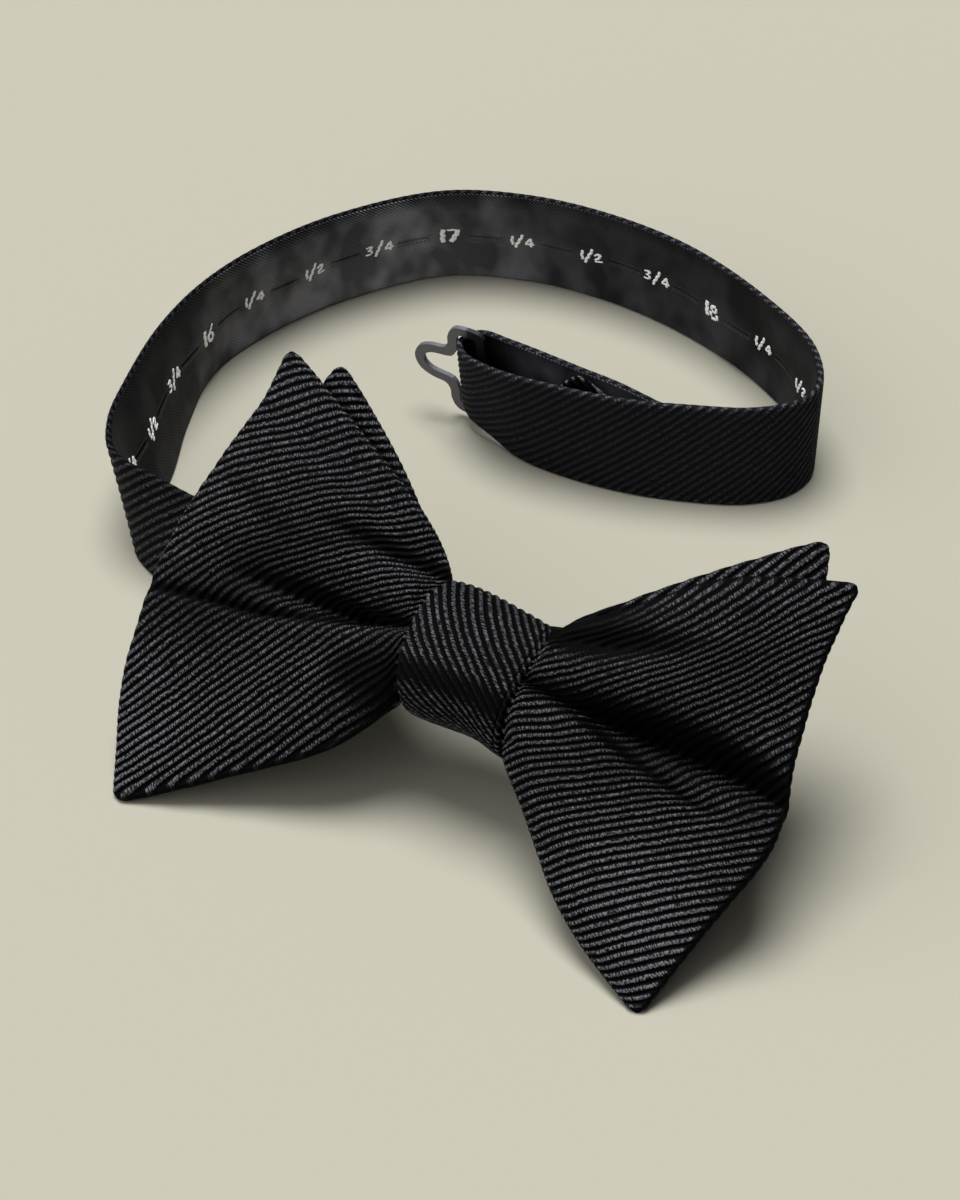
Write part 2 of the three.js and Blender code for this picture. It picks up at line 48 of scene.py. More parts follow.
# Where the bow stands, and how far it leans back from upright
BOW_LEAN = math.radians(54)
BOW_ORIGIN = np.array([17.7, -74.12, 0.25])
STRAP_SHIFT = np.array([-0.3, 0.48, 0.0])

# The ribs of the silk: their spacing, their height and where one rib is sampled
RIB_PITCH = 1.42
RIB_HEIGHT, RIB_MEAN, RIB_ROUND = 0.46, 0.66, 0.8
RIM_RELIEF = 0.3
RIB_SAMPLES = np.array([0.0, 0.07, 0.18, 0.34, 0.5, 0.66, 0.82, 0.93])
RIB_SAMPLES_COARSE = np.array([0.0, 0.25, 0.5, 0.75])
RIB_CLEARANCE, BEYOND_RIBS = 0.03, 1000.0
RIGHT_BACK_RIBS_FROM = 40

# The leaves: rim radius, half thickness inside, and rounding of the rim and corners in plan
RIM_RADIUS, RIM_STEPS = 0.7, 6
LEAF_HALF, FILL_REACH = 1.3, 5.0
LEAF_WIDTH, COLUMN_STEP, COLUMN_SAMPLES = 47.0, 0.27, 500
EDGE_DROOP, DROOP_REACH = 0.35, 3.0
CORNER_RADIUS, TIP_RADIUS = 1.0, 1.5
# How deep a leaf's root lies under the knot's face, how fast it may rise outside the knot, and
# how it carries on inside
KNOT_GAP, ROOT_DEPTH, ROOT_FLOOR, ROOT_SLOPE = 0.5, 2.9, 2.6, 0.8
ROOT_INSIDE, ROOT_UP_SHARE, ROOT_OUT_SHARE = 1.5, 0.8, 0.7
# The sewn hem along a front leaf: its dark line, painted shade along its edge and the flat ribs beside it
HEM_LINE, HEM_LINE_SOFT, HEM_LINE_DARK = 0.55, 0.22, 0.75
HEM_EDGE, HEM_EDGE_SOFT, HEM_EDGE_PAINTED_SHADE = 0.5, 0.3, 0.8
HEM_FLAT, HEM_FLAT_SOFT, HEM_FLAT_SHARE = 0.3, 0.7, 0.2
FAR_FROM_HEM = 9.0
# Painted shade along a leaf's outer edge: how dark, and how soft its inner side
EDGE_SHADE_DARK, EDGE_SHADE_SOFT = 0.9, 0.6

KNOT = {"half": 11.7, "front": 9.0, "back": 8.6, "up": 39.0, "across": 1.4}
KNOT_ROUND = {"front": 2.05, "back": 4.5, "side": 2.35}
KNOT_RIM_RADIUS, KNOT_RIM_DROP, KNOT_RELIEF = 0.6, 0.8, 0.78
KNOT_ROLL, KNOT_ROLL_STEPS = math.radians(150), 9
KNOT_AROUND, KNOT_ACROSS = 520, 130
KNOT_UNDERSIDE, KNOT_RIBS_FROM = 36, 60
KNOT_TOP_LIFT = [0.0, -0.8, -1.6, -1.9]
KNOT_FOOT_LIFT = [0.8, 1.6, 1.5, -0.7]
KNOT_LEFT_RIM = [-7.0, -8.1, -8.5, -8.3, -7.2]
KNOT_RIGHT_RIM = [10.0, 10.3, 10.9, 11.4, 10.6]
# The knot's seam beside its right rim, and the fold across its lower half: the painted shade
# in both, and the painted light over the knot
SEAM_FROM_RIM, SEAM_SOFT, SEAM_DEPTH, SEAM_PAINTED_SHADE = 0.75, 0.14, 0.3, 0.85
FOLD_LEVEL, FOLD_HALF, FOLD_SOFT, FOLD_PAINTED_SHADE, KNOT_PAINTED_LIGHT = -0.5, 0.26, 0.21, 0.74, 0.9

# Fold lines of each leaf from its lower to its upper edge. They cross four stations: the
# knot's rim, a fifth of the way out, just over half, and the outer edge. Columns: how far
# out the line ends, then its heights, its depths and, in front, its rib counts at the four.
LEFT_FRONT = [
    (45.3, (30.2, 19.4, 10.6, 0.1), (2.4, 1.4, 0.4, 0), (-21.3, -21.6, -17.6, -12.2)),
    (51.4, (32.6, 26.5, 20.5, 16.5), (5, 4.2, 2.4, 0.6), (-19.7, -17, -10.4, 0.1)),
    (53.4, (35.4, 33.8, 31.5, 28.5), (6.2, 5.4, 3.6, 0.9), (-17.8, -12.8, -4.3, 5.9)),
    (54, (37.6, 39.8, 37, 34), (6.5, 5.4, 3.6, 0.9), (-17, -9.9, -1.6, 8.4)),
    (53.8, (39.2, 41.2, 41, 39.5), (6.6, 5.4, 3.8, 1), (-15.6, -8, 0.4, 10.8)),
    (53, (41.6, 44.4, 46, 46.5), (6.5, 6.8, 5.2, 1.4), (-12.4, -4.6, 4.4, 14)),
    (50.8, (44.4, 48.8, 54.5, 57.5), (6, 6.2, 4.8, 1.4), (-9.4, -1.4, 9.9, 19.3)),
    (49, (46.4, 52.8, 59.5, 66), (4.6, 4.4, 3.2, 0.9), (-7.8, 2.2, 13, 24)),
    (49, (49.2, 57.2, 65.2, 74.8), (2, 2, 1.6, 0.2), (-6.1, 4.5, 15.6, 28.4)),
]
RIGHT_FRONT = [
    (45, (29, 21, 9, 0), (3.8, 1.8, 0.4, 0), (6.2, -3.1, -16.6, -29.4)),
    (49.6, (32.6, 27, 19, 15), (5.6, 4.8, 2.6, 0.6), (8.8, 0.9, -11.1, -21.7)),
    (53.2, (35.4, 33.6, 28.6, 25.5), (6.6, 6.4, 4.8, 1.2), (10.7, 6.2, -4.4, -15.8)),
    (54.1, (37.4, 37.4, 33.4, 30.5), (6.8, 6.4, 5.2, 1.5), (12.8, 8.5, -0.6, -12.8)),
    (53.4, (38.8, 39.2, 38, 35.6), (6.9, 6.6, 5.6, 1.8), (14.8, 10.7, 1.3, -9.7)),
    (52.3, (41.4, 42.6, 43.4, 42.6), (6.8, 7, 6.2, 2.2), (17.2, 13.7, 5.7, -5.9)),
    (50.8, (44.2, 47.6, 52, 55), (6.2, 5.8, 5, 1.9), (19.1, 16.8, 12.2, 1)),
    (50.6, (46.4, 51, 58, 63.6), (5.2, 4.2, 3.2, 1.2), (20.5, 19.6, 15.3, 6.3)),
    (50.9, (48.6, 54, 64, 69.9), (2, 2, 2, 0.6), (21.7, 21.3, 17.2, 9.4)),
]
LEFT_BACK = [
    (41, (30.4, 24, 15.6, 9.8), (0.2, -2.4, -4.8, -6.2)),
    (46.6, (34.6, 31.4, 27.4, 23), (-0.2, -1.8, -4.2, -5.8)),
    (49, (39.2, 39.8, 40, 40), (-0.2, -2.8, -4.8, -6.2)),
    (46.6, (43.8, 48.8, 55, 60), (-0.2, -1.6, -3.2, -4.8)),
    (42.4, (48, 54.8, 65.2, 76), (0.2, -1.6, -3.2, -4.6)),
]
RIGHT_BACK = LEFT_BACK[:3] + [
    (46.6, (43.8, 48, 54, 60), (-0.2, -1.6, -3.2, -4.8)),
    (42.6, (49, 55.6, 64.8, 75.2), (0.2, -1.6, -3.2, -4.6)),
]

# Creases pressed into the front leaves: points along each as across, up, depth, and how far
# its slopes reach above it and below it
LEFT_CREASES = [
    [
        (-30, 50.6, 0, 2, 1.2), (-22, 50.2, -1.4, 2.6, 1.4), (-15.5, 49.3, -2.8, 2.8, 1.6),
        (-10.6, 48.9, -2.6, 2.4, 1.4), (-5.9, 48.6, -1.2, 1.4, 1),
    ],
    [
        (-42, 38.8, 0, 2.2, 1), (-37, 38.6, -1.4, 2.4, 1.2), (-28, 38.4, -4, 3, 1.4),
        (-18, 38.6, -5, 3, 1.4), (-11, 39.9, -3, 1.6, 1), (-7.5, 40.6, -1, 0.9, 0.7),
    ],
    [
        (-54, 32.2, -0.6, 1.3, 0.7), (-44, 33.3, -1.8, 1.3, 0.7), (-33, 34.1, -2, 1.3, 0.7),
        (-24.5, 36.2, -1.4, 1.2, 0.7), (-14, 39.2, -0.4, 1, 0.6),
    ],
]
RIGHT_CREASES = [
    [
        (9, 38.6, -0.7, 0.8, 0.6), (15, 38.2, -3, 1.6, 1), (22, 37.6, -5.6, 2.6, 1.5),
        (32, 37.4, -7.2, 3.6, 2), (41.5, 37, -7.2, 3.8, 2), (49, 36.1, -5.2, 3.4, 1.8),
        (53.5, 34.9, -2.4, 3, 1.6),
    ],
    [
        (21, 36.2, 0, 2.4, 1.2), (25, 35.2, -1.5, 2.8, 1.2), (29, 34, -2.5, 3.2, 1.2),
        (31.7, 33.2, -2.7, 3.4, 1.2), (34.6, 32.6, -2.5, 3.4, 1.2), (37.7, 31.7, -2.1, 3.2, 1.2),
        (41.1, 30.8, -1.4, 2.8, 1.2), (43.3, 30.6, -0.9, 2.4, 1.2), (47, 30.9, 0, 2, 1.2),
    ],
    [
        (9, 46.4, -1.4, 2.4, 1.8), (14, 46.8, -3, 3, 2.2), (20, 47.8, -2.8, 3.6, 2.6),
        (27, 49.6, -1.6, 3.6, 2.6), (35, 51.6, 0, 3.6, 2.6),
    ],
]
# Painted shade over the folds, where the thread turns away from the light: a softness below
# and above, then points as across, lower and upper bound, and how dark
LEFT_PAINTED_SHADE = [
    (0.8, 1, [
        (-31, 50.4, 51.6, 0), (-27.3, 50.2, 52, 0.45), (-20, 49.4, 51.6, 0.85),
        (-15.5, 49, 51.2, 0.9), (-10, 49, 50.8, 0.9), (-5.9, 49.2, 50.6, 0.8),
    ]),
    (0.6, 0.8, [
        (-42, 39, 40.2, 0), (-37.7, 38.8, 40.5, 0.6), (-27.9, 38.8, 41.4, 1), (-18.2, 38.7, 41.1, 1),
        (-10.8, 40, 41.1, 0.95), (-7.5, 40.6, 41.2, 0.8),
    ]),
    (0.5, 0.9, [
        (-54, 31.6, 33, 0.7), (-52.5, 31.9, 33.4, 0.9), (-43.7, 32.7, 34.4, 0.9),
        (-33.3, 33.6, 35.2, 0.9), (-24.5, 35.8, 37.2, 0.85), (-13.9, 39, 40, 0.8),
    ]),
    (2, 2, [
        (-50, 53, 54, 0), (-48.4, 52.4, 53.6, 0.3), (-31.7, 45.8, 47.4, 0.35),
        (-21.6, 48.6, 50.2, 0.35), (-10.5, 54, 55.6, 0.35),
    ]),
    (2.5, 2.5, [
        (-20, 28.4, 33, 0), (-16, 27.5, 33.5, 0.5), (-12, 27.5, 34, 0.7), (-8.5, 28, 35, 0.75),
    ]),
]
RIGHT_PAINTED_SHADE = [
    (2, 1.5, [
        (9, 38.2, 38.8, 0.9), (12, 37.6, 39, 1), (17, 37.4, 39.3, 1), (21.5, 37.2, 40.3, 1),
        (31.5, 37.4, 41.2, 1), (40.5, 37.4, 41.6, 1), (48, 36.3, 40.6, 1), (53.5, 35.2, 38.8, 0.95),
    ]),
    (0.5, 0.7, [
        (21, 35.6, 36.8, 0.6), (25, 34.5, 35.9, 0.9), (29, 33.4, 34.8, 0.95), (31.7, 32.6, 33.8, 0.95),
        (34.6, 32, 33, 0.95), (37.7, 31.2, 32.1, 0.9), (41.1, 30.4, 31.1, 0.8),
        (43.3, 30.3, 30.9, 0.6), (47, 30.6, 31.2, 0),
    ]),
    (1.2, 1.5, [
        (10, 45.2, 49, 0.95), (17, 45.2, 50, 0.95), (22, 46.6, 51.5, 0.85), (28, 48.8, 53, 0.6),
        (36, 52, 55, 0),
    ]),
]
# Painted shade over the back leaves, laid out in the same way
LEFT_BACK_PAINTED_SHADE = [(1.2, 0.5, [
    (-48, 74.6, 75.2, 0.9), (-30, 65, 65.8, 0.9), (-16, 57, 57.6, 0.9), (-8, 49, 49.8, 0.9),
])]
RIGHT_BACK_PAINTED_SHADE = [(1.2, 0.5, [
    (10, 48.2, 50.6, 0.95), (18.6, 53.6, 55.6, 0.95), (32.6, 63.8, 64.6, 0.9), (50.8, 69.6, 70.6, 0.9),
])]
# How wide the painted shade along the outer edge is, by height, where the edge turns away from the light
RIGHT_EDGE_SHADE = [(0, 20, 35, 60, 70), (0.5, 0.8, 0.8, 0.5, 0.3)]
NO_EDGE_SHADE = [(0, 70), (0, 0)]
# Painted light on a front leaf, and painted shade where the gain is below 0: across, up, radius and gain
LEFT_PAINTED_LIGHT = [
    (-47, 7, 9, 0.5), (-36, 40, 5, -0.4), (-41, 31, 6, -0.35), (-25, 35.8, 4, -0.2), (-9, 32, 6, -0.6),
    (-6, 26, 4, -0.4), (-50, 32, 5, -0.3), (-31, 54, 9, -0.22),
]
RIGHT_PAINTED_LIGHT = [
    (45, 13, 6, 0.35), (48, 6, 6, 0.5), (34, 18, 6, 0.4), (52, 14, 4, -0.3), (17, 52, 5, -0.8),
    (36, 50, 13, -0.22), (27, 31, 6, -0.15), (50, 34, 4, -0.3), (38, 35, 4, -0.3), (31, 36, 4, -0.3),
    (41, 53, 5, -0.12),
]

# Sections of the neck strap from its short right end to its tail: x, y and lift of the
# lower edge, how far the upper edge stands over from it in x and y, and the width
STRAP_SECTIONS = [
    (52.5, -36, 0, 0, 6, 20),
    (44.5, -39.6, 4.4, 0, 9.8, 20),
    (35, -46, 12.4, 0, 14.8, 19),
    (28, -47.2, 15.4, 0, 14.2, 17.4),
    (8, -47, 16, 0, 13.8, 16.6),
    (0, -46, 14, 0, 14.4, 17.8),
    (-12, -40.8, 7.2, 0, 12.4, 20),
    (-26, -36, 2.2, 0, 8.8, 20),
    (-38, -32.8, 0, 0, 5.8, 20),
    (-47.7, -28.8, 0, -1, 2.6, 20),
    (-54.8, -24.6, 0, -3.8, 0.6, 20.1),
    (-58.2, -16.7, 0, -5.8, -0.3, 20.2),
    (-60.4, -6.7, 0, -6.9, 0, 20.4),
    (-65.8, 7.3, 0, -3.8, 0, 20.2),
    (-69.2, 20.8, 0, -0.2, 0, 20),
    (-66.8, 34.8, 0, 0.6, -0.6, 20),
    (-60, 49.8, 0, 0.8, -1.2, 20),
    (-48, 64.8, 0, 1, -2, 20),
    (-34, 70.8, 0, 0.4, -2, 20),
    (-19, 72.4, 0, 0, -1.6, 20),
    (-3, 70.4, 0, 0, -1, 20),
    (14, 64.4, 0, -0.2, -1, 20),
    (27, 55.4, 0, 0.6, -0.4, 20),
    (32.4, 46.2, 0, 0.6, -0.2, 20),
    (31.4, 40.2, 0, 0.4, 0.4, 20),
    (26.4, 34.8, 0, 0, 0.6, 20),
    (17, 30.4, 0, 0, 0.6, 20),
    (7, 27.6, 0, 0, -0.4, 20),
    (-4, 26.4, 0, 0, -1.4, 20),
    (-12, 26.8, 0.3, 0, -2.8, 19.8),
    (-17.6, 28.2, 1.5, 0, -3.4, 18),
    (-22.9, 29.7, 2.7, 0, -2.8, 16),
    (-25, 32.1, 3.2, 0, -2.1, 15.2),
    (-22.9, 34.5, 2.9, 0, -1.8, 16),
    (-17, 34.4, 2, 0, -2.6, 18),
    (-10, 33.2, 1, 0, -2.4, 19.6),
    (-3, 31.8, 0.8, 0, -1.4, 19.6),
    (4, 31.4, 1.6, 0, -0.6, 18),
    (11, 32.7, 3.6, 0, 0, 13),
]
TAPE_FROM_SECTION = 6
STRAP_WIDTH = 20.0
STRAP_STEP = 0.5
STRAP_EDGE = 0.5
STRAP_CENTRE = -0.1
STRAP_TURN_IN = 1.7
STRAP_RIB_ANGLE = math.radians(43)
STRAP_RIB_PITCH = 1.3
STRAP_RELIEF, STRAP_EDGE_RELIEF = 0.5, 0.12
# Shares of its length between which the strap turns its face to the light, and at both ends
# of that stretch the painted light of its face, the painted light of its edges and the painted sheen over
# it
STRAP_TURN = np.array([0.5, 0.66])
STRAP_PAINTED_LIGHT, STRAP_EDGE_PAINTED_LIGHT, STRAP_PAINTED_SHEEN = (0.74, 0.46), (0.5, 0.9), (0.04, 0.64)
LINING_MARGIN = 0.32
LINING_OVER = 0.12
LINING_LINE_DEPTH = 0.5
# Painted light on the lining, stronger towards its foot
LINING_FOOT_PAINTED_LIGHT = 1.2

# The row of slots and marks along the lining, and the threads on it
SLOT_LINE = 0.49 * STRAP_WIDTH
SLOT_FIRST, SLOT_SPACING, SLOT_COUNT, SLOT_LENGTH = 20.9, 12.9, 17, 5.8
SLOT_DEPTH, SLOT_LIP = 0.5, 0.06
STITCHES_PER_SLOT = 13
# Columns: along, up, half length, half width and lift
SLOT_STITCHES = [(0.0, -0.62, 0.4, 0.12, 0.13), (0.2, 0.5, 0.26, 0.1, 0.1)]
MARK_FIRST, FIRST_MARK_SHIFT = 53.2, 2.4
QUARTERS = ["1/4", "1/2", "3/4"]
MARKS = QUARTERS + ["16"] + QUARTERS + ["17"] + QUARTERS + ["18"] + QUARTERS[:2]
MARK_LIFT, THREAD_SINK = 0.17, 0.04

# The folded tab: where it stands, and its top line as along and up
TAB = {"at": (0.0, 28.45, 15.0), "turn": 8, "lean": 2.8, "half": 5.4, "foot": -6.0, "relief": 0.3}
TAB_TOP = [(-5.5, -4.2, -2.6, -0.8, 5.5), (2.0, 4.0, 5.4, 5.5, 1.8)]
TAB_RADIUS = 0.42

# Painted light and shade on the lining's satin, by distance along it
LINING_PAINTED_LIGHT = [
    (0, 75, 85, 92, 100, 118, 131, 145, 155, 165, 175, 195, 212, 225, 303, 311, 318, 340),
    (0.15, 0.3, 1, 1.8, 2.5, 2.9, 4.4, 3.2, 1.8, 0.9, 0.6, 0.55, 0.4, 0.25, 0.2, 0.3, 1.9, 2.3),
]

# The dashes of thread that a stroke is laid with: their length and stagger, and how its width
# and their length are shared out
DASH_LENGTH, DASH_STAGGER, THIN_STROKE = 0.62, 0.07, 0.4
DASH_HALF, DASH_OVERLAP, STROKE_HALF = 0.56, 0.1, 0.62
# Signs of the woven size marks: width, and strokes as x, y to x, y and thickness. The large
# ones stand 3.1 high on their foot, the small ones and the slash lie about their middle
LARGE_FOOT, LARGE_GAP = -1.55, 0.35
LARGE = {
    "1": (0.9, [(0.45, 0.1, 0.45, 3, 0.78)]),
    "6": (2, [
        (1.9, 3.1, 0.7, 1.9, 0.3), (0.45, 1.8, 0.3, 0.9, 0.6), (0.35, 0.8, 0.9, 0.25, 0.6),
        (0.9, 0.25, 1.6, 0.5, 0.56), (1.65, 0.5, 1.65, 1.3, 0.56), (1.6, 1.4, 0.8, 1.7, 0.46),
    ]),
    "7": (2.3, [(0.05, 2.95, 2.2, 2.95, 0.3), (2, 2.75, 0.75, 0.1, 0.78)]),
    "8": (2.1, [
        (0.5, 2.8, 1.5, 2.85, 0.5), (1.7, 2.7, 1.7, 1.9, 0.52), (1.5, 1.65, 0.6, 1.6, 0.4),
        (0.4, 1.9, 0.4, 2.6, 0.56), (0.3, 1.3, 0.3, 0.5, 0.58), (0.5, 0.2, 1.6, 0.2, 0.5),
        (1.8, 0.4, 1.8, 1.3, 0.58),
    ]),
}
SMALL = {
    "1": (0.6, [(0.3, -0.95, 0.3, 0.95, 0.46)]),
    "2": (1.7, [
        (0.15, 0.4, 0.7, 0.8, 0.3), (0.7, 0.85, 1.3, 0.75, 0.36), (1.4, 0.6, 0.4, -0.65, 0.42),
        (0.3, -0.85, 1.65, -0.75, 0.24),
    ]),
    "3": (1.7, [
        (0.2, 0.8, 1.2, 0.9, 0.24), (1.4, 0.75, 0.9, 0.2, 0.4), (0.5, 0.1, 1, 0.1, 0.3),
        (1.3, -0.1, 1.25, -0.65, 0.44), (1, -0.85, 0.1, -0.85, 0.28),
    ]),
    "4": (1.9, [
        (1.3, 0.9, 0.3, -0.2, 0.36), (0.25, -0.35, 1.8, -0.35, 0.34), (1.35, 0.85, 1.35, -0.95, 0.42),
    ]),
}
SLASH = (1.7, [(0.1, -1.55, 1.6, 1.6, 0.46)])


def smooth(values, t):
    """A smooth value through evenly spaced samples along the first axis, at t in 0 to 1."""
    values = np.asarray(values, float)
    t = np.asarray(t, float)
    last = len(values) - 1
    place = np.clip(t, 0, 1) * last
    i = np.minimum(place.astype(int), last - 1)
    f = (place - i).reshape(t.shape + (1,) * (values.ndim - 1))
    ends = [2 * values[:1] - values[1:2], values, 2 * values[-1:] - values[-2:-1]]
    padded = np.concatenate(ends)
    p0, p1, p2, p3 = (padded[i + k] for k in range(4))
    bend = 2 * p0 - 5 * p1 + 4 * p2 - p3
    turn = 3 * p1 - p0 - 3 * p2 + p3
    return p1 + 0.5 * f * (p2 - p0 + f * (bend + f * turn))


def ease(x):
    """A soft step from 0 to 1."""
    x = np.clip(x, 0, 1)
    return x * x * (3 - 2 * x)


def distances(line):
    """How far along a line each of its points lies."""
    steps = np.linalg.norm(np.diff(line, axis=0), axis=1)
    return np.concatenate([[0], np.cumsum(steps)])


def bow_to_world(p):
    x, v, w = p[..., 0], p[..., 1], p[..., 2]
    s, c = math.sin(BOW_LEAN), math.cos(BOW_LEAN)
    return BOW_ORIGIN + np.stack([x, v * s - w * c, v * c + w * s], -1)


def vertex_normals(points, faces):
    a, b, c = (points[faces[:, k]] for k in range(3))
    face = np.cross(b - a, c - a)
    total = np.zeros_like(points)
    for k in range(3):
        np.add.at(total, faces[:, k], face)
    return total / np.maximum(np.linalg.norm(total, axis=1, keepdims=True), 1e-12)


def raised(points, faces, relief, outward):
    """Points pushed out of their surface by the relief, and the quads turned to look outwards.

    outward is a rough direction out of the surface at each point.
    """
    points, outward = points.reshape(-1, 3), outward.reshape(-1, 3)
    normals = vertex_normals(points, np.vstack([faces[:, [0, 1, 2]], faces[:, [0, 2, 3]]]))
    sign = np.sign((normals * outward).sum())
    points = points + sign * normals * relief.reshape(-1, 1)
    return points, faces if sign > 0 else faces[:, ::-1]


def grid_faces(rows, columns, wrap=False):
    """Quads between the rows and columns of a grid; wrap joins the last row to the first."""
    i = np.arange(rows if wrap else rows - 1)
    j = np.arange(columns - 1)
    i, j = (a.ravel() for a in np.meshgrid(i, j, indexing="ij"))
    k = (i + 1) % rows
    return np.stack([i * columns + j, i * columns + j + 1, k * columns + j + 1, k * columns + j], 1)


def strip(ids_a, t_a, ids_b, t_b):
    """Triangles between two neighbouring lines of vertices, each sorted by its own t."""
    order = np.argsort(np.concatenate([t_a[1:], t_b[1:]]), kind="stable")
    from_a = order < len(t_a) - 1
    i = np.concatenate([[0], np.cumsum(from_a)[:-1]])
    j = np.concatenate([[0], np.cumsum(~from_a)[:-1]])
    next_a = ids_a[np.minimum(i + 1, len(ids_a) - 1)]
    next_b = ids_b[np.minimum(j + 1, len(ids_b) - 1)]
    return np.stack([ids_a[i], ids_b[j], np.where(from_a, next_a, next_b)], 1)


def rib_relief(phase):
    """Height of the ribbed face over its mean, for a rib count: round cords and narrow grooves."""
    return RIB_HEIGHT * (np.abs(np.sin(math.pi * phase)) ** RIB_ROUND - RIB_MEAN)


def sway(x, v):
    """How far the woven ribs wander from their even course, in ribs."""
    wander = 0.05 * np.sin(0.31 * x + 1.9 * np.sin(0.13 * v)) + 0.04 * np.sin(0.57 * v - 0.33 * x + 1.3)
    return wander + 0.02 * np.sin(1.1 * x + 0.6 * v + 2.0 * np.sin(0.3 * v))


# Materials

class Shader:
    """The node tree of a new material, with short forms for its nodes."""

    def __init__(self, name, colour, roughness, metallic=0.0, specular=0.5):
        self.material = bpy.data.materials.new(name)
        self.material.use_nodes = True
        self.tree = self.material.node_tree
        self.surface = self.tree.nodes["Principled BSDF"].inputs
        self.surface["Base Color"].default_value = (*colour, 1)
        self.surface["Roughness"].default_value = roughness
        self.surface["Metallic"].default_value = metallic
        self.surface["Specular IOR Level"].default_value = specular

    def give(self, socket, given):
        """Links an input to a socket, or sets it to a constant."""
        if isinstance(given, bpy.types.NodeSocket):
            self.tree.links.new(given, socket)
        else:
            socket.default_value = given

    def node(self, kind, **inputs):
        node = self.tree.nodes.new("ShaderNode" + kind)
        for name, given in inputs.items():
            self.give(node.inputs[name], given)
        return node

    def math(self, operation, *values, kind="Math"):
        node = self.node(kind)
        node.operation = operation
        for socket, given in zip(node.inputs, values):
            self.give(socket, given)
        return node.outputs[0]

    def ramp(self, value, stops):
        """A colour, or a grey where a stop has one number, for a value between the stops."""
        node = self.node("ValToRGB", Fac=value)
        elements = node.color_ramp.elements
        for i, (position, colour) in enumerate(stops):
            element = elements[i] if i < 2 else elements.new(position)
            element.position = position
            element.color = (*colour, 1) if hasattr(colour, "__len__") else (colour, colour, colour, 1)
        return node.outputs["Color"]

    def weave(self):
        """The piece's own coordinates, along its ribs and across them."""
        node = self.node("UVMap")
        node.uv_map = "weave"
        return node.outputs["UV"]

    # The colour attribute with a piece's painted shade, painted light and painted sheen
    def shade(self):
        node = self.node("VertexColor")
        node.layer_name = "shade"
        return node.outputs["Color"]

    def split(self, vector):
        return self.node("SeparateXYZ", Vector=vector).outputs

    def weave_noise(self, scale, detail):
        place = self.node("Mapping", Vector=self.weave(), Scale=(*scale, 1)).outputs["Vector"]
        noise = self.node("TexNoise", Vector=place, Scale=1.0, Detail=detail, Roughness=0.6)
        return noise.outputs["Fac"]

    def bump(self, height, strength, distance):
        node = self.node("Bump", Height=height, Strength=strength, Distance=distance)
        self.give(self.surface["Normal"], node.outputs["Normal"])


def silk_material(name):
    """Black ribbed silk with painted highlights: bright flecks on the crests, thinner under painted
    shade.
    """
    shader = Shader(name, (0.006, 0.006, 0.007), 0.45, specular=0.04)
    light, level, veil = shader.node("SeparateColor", Color=shader.shade()).outputs
    grain = shader.weave_noise((4.8, 2.2), 1.0)
    turned = shader.math("MULTIPLY", shader.split(shader.weave())["Y"], math.pi)
    sine = shader.math("SINE", turned)
    # The crests' bright lines are painted highlights, narrowed by the painted shade
    line = shader.math("MULTIPLY_ADD", light, 0.5, shader.math("MULTIPLY", sine, sine))
    line = shader.math("MULTIPLY_ADD", grain, 0.9, line)
    line = shader.ramp(shader.math("MULTIPLY_ADD", line, 2.4, -3.288), [(0, 0), (1, 1)])
    painted_glints = shader.ramp(grain, [(0.39, 0.08), (0.65, 1.0)])
    # Painted highlights and glints, scaled by the painted light and shade, over dark grooves
    painted_highlight = shader.math("MULTIPLY", shader.math("MULTIPLY", line, painted_glints), level)
    colours = [(0, (0.0006, 0.0006, 0.0008)), (0.45, (0.024, 0.024, 0.0268)), (1, (0.12, 0.12, 0.132))]
    sheen = (0.011, 0.011, 0.015)
    # An even painted sheen over the crests and grooves
    colour = shader.math("MULTIPLY_ADD", veil, sheen, shader.ramp(painted_highlight, colours), kind="VectorMath")
    shader.give(shader.surface["Base Color"], colour)
    shader.give(shader.surface["Roughness"], shader.ramp(painted_highlight, [(0.0, 0.7), (0.6, 0.45)]))
    shader.bump(grain, 0.8, 0.00018)
    return shader.material


def lining_material(name):
    """Black satin with a fine diagonal twill and soft mottling."""
    shader = Shader(name, (0.017, 0.017, 0.019), 0.5, specular=0.05)
    weave = shader.weave()
    turned = shader.node("Mapping", Vector=weave, Rotation=(0, 0, math.radians(-50))).outputs["Vector"]
    wave = shader.node("TexWave", Vector=turned, Scale=0.66, Distortion=0.3).outputs["Fac"]
    height = shader.math("DIVIDE", shader.split(weave)["Y"], STRAP_WIDTH)
    edge = shader.ramp(height, [(0.84, 0.0), (0.96, 1.0)])
    twill = shader.ramp(wave, [(0.3, 0.0), (0.8, 1.0)])
    patches = shader.ramp(shader.weave_noise((0.1, 0.07), 2.0), [(0.4, 0.45), (0.62, 1.5)])
    grain = shader.ramp(shader.weave_noise((4.0, 4.0), 2.0), [(0.35, 0.7), (0.65, 1.0)])
    # The shade attribute brings the lining's painted light and shade
    level = shader.math("MULTIPLY", shader.math("MULTIPLY", patches, shader.shade()), grain)
    contrast = shader.math("MULTIPLY_ADD", edge, 0.75, 0.2)
    gap = shader.math("MULTIPLY", shader.math("SUBTRACT", 1.0, twill), contrast)
    level = shader.math("MULTIPLY", level, shader.math("SUBTRACT", 1.0, gap))
    colours = [(0.0, (0.0015, 0.0015, 0.002)), (1.0, (0.36, 0.36, 0.41))]
    colour = shader.ramp(shader.math("MULTIPLY", level, 0.12), colours)
    shader.give(shader.surface["Base Color"], colour)
    shader.bump(wave, 0.4, 0.00008)
    return shader.material


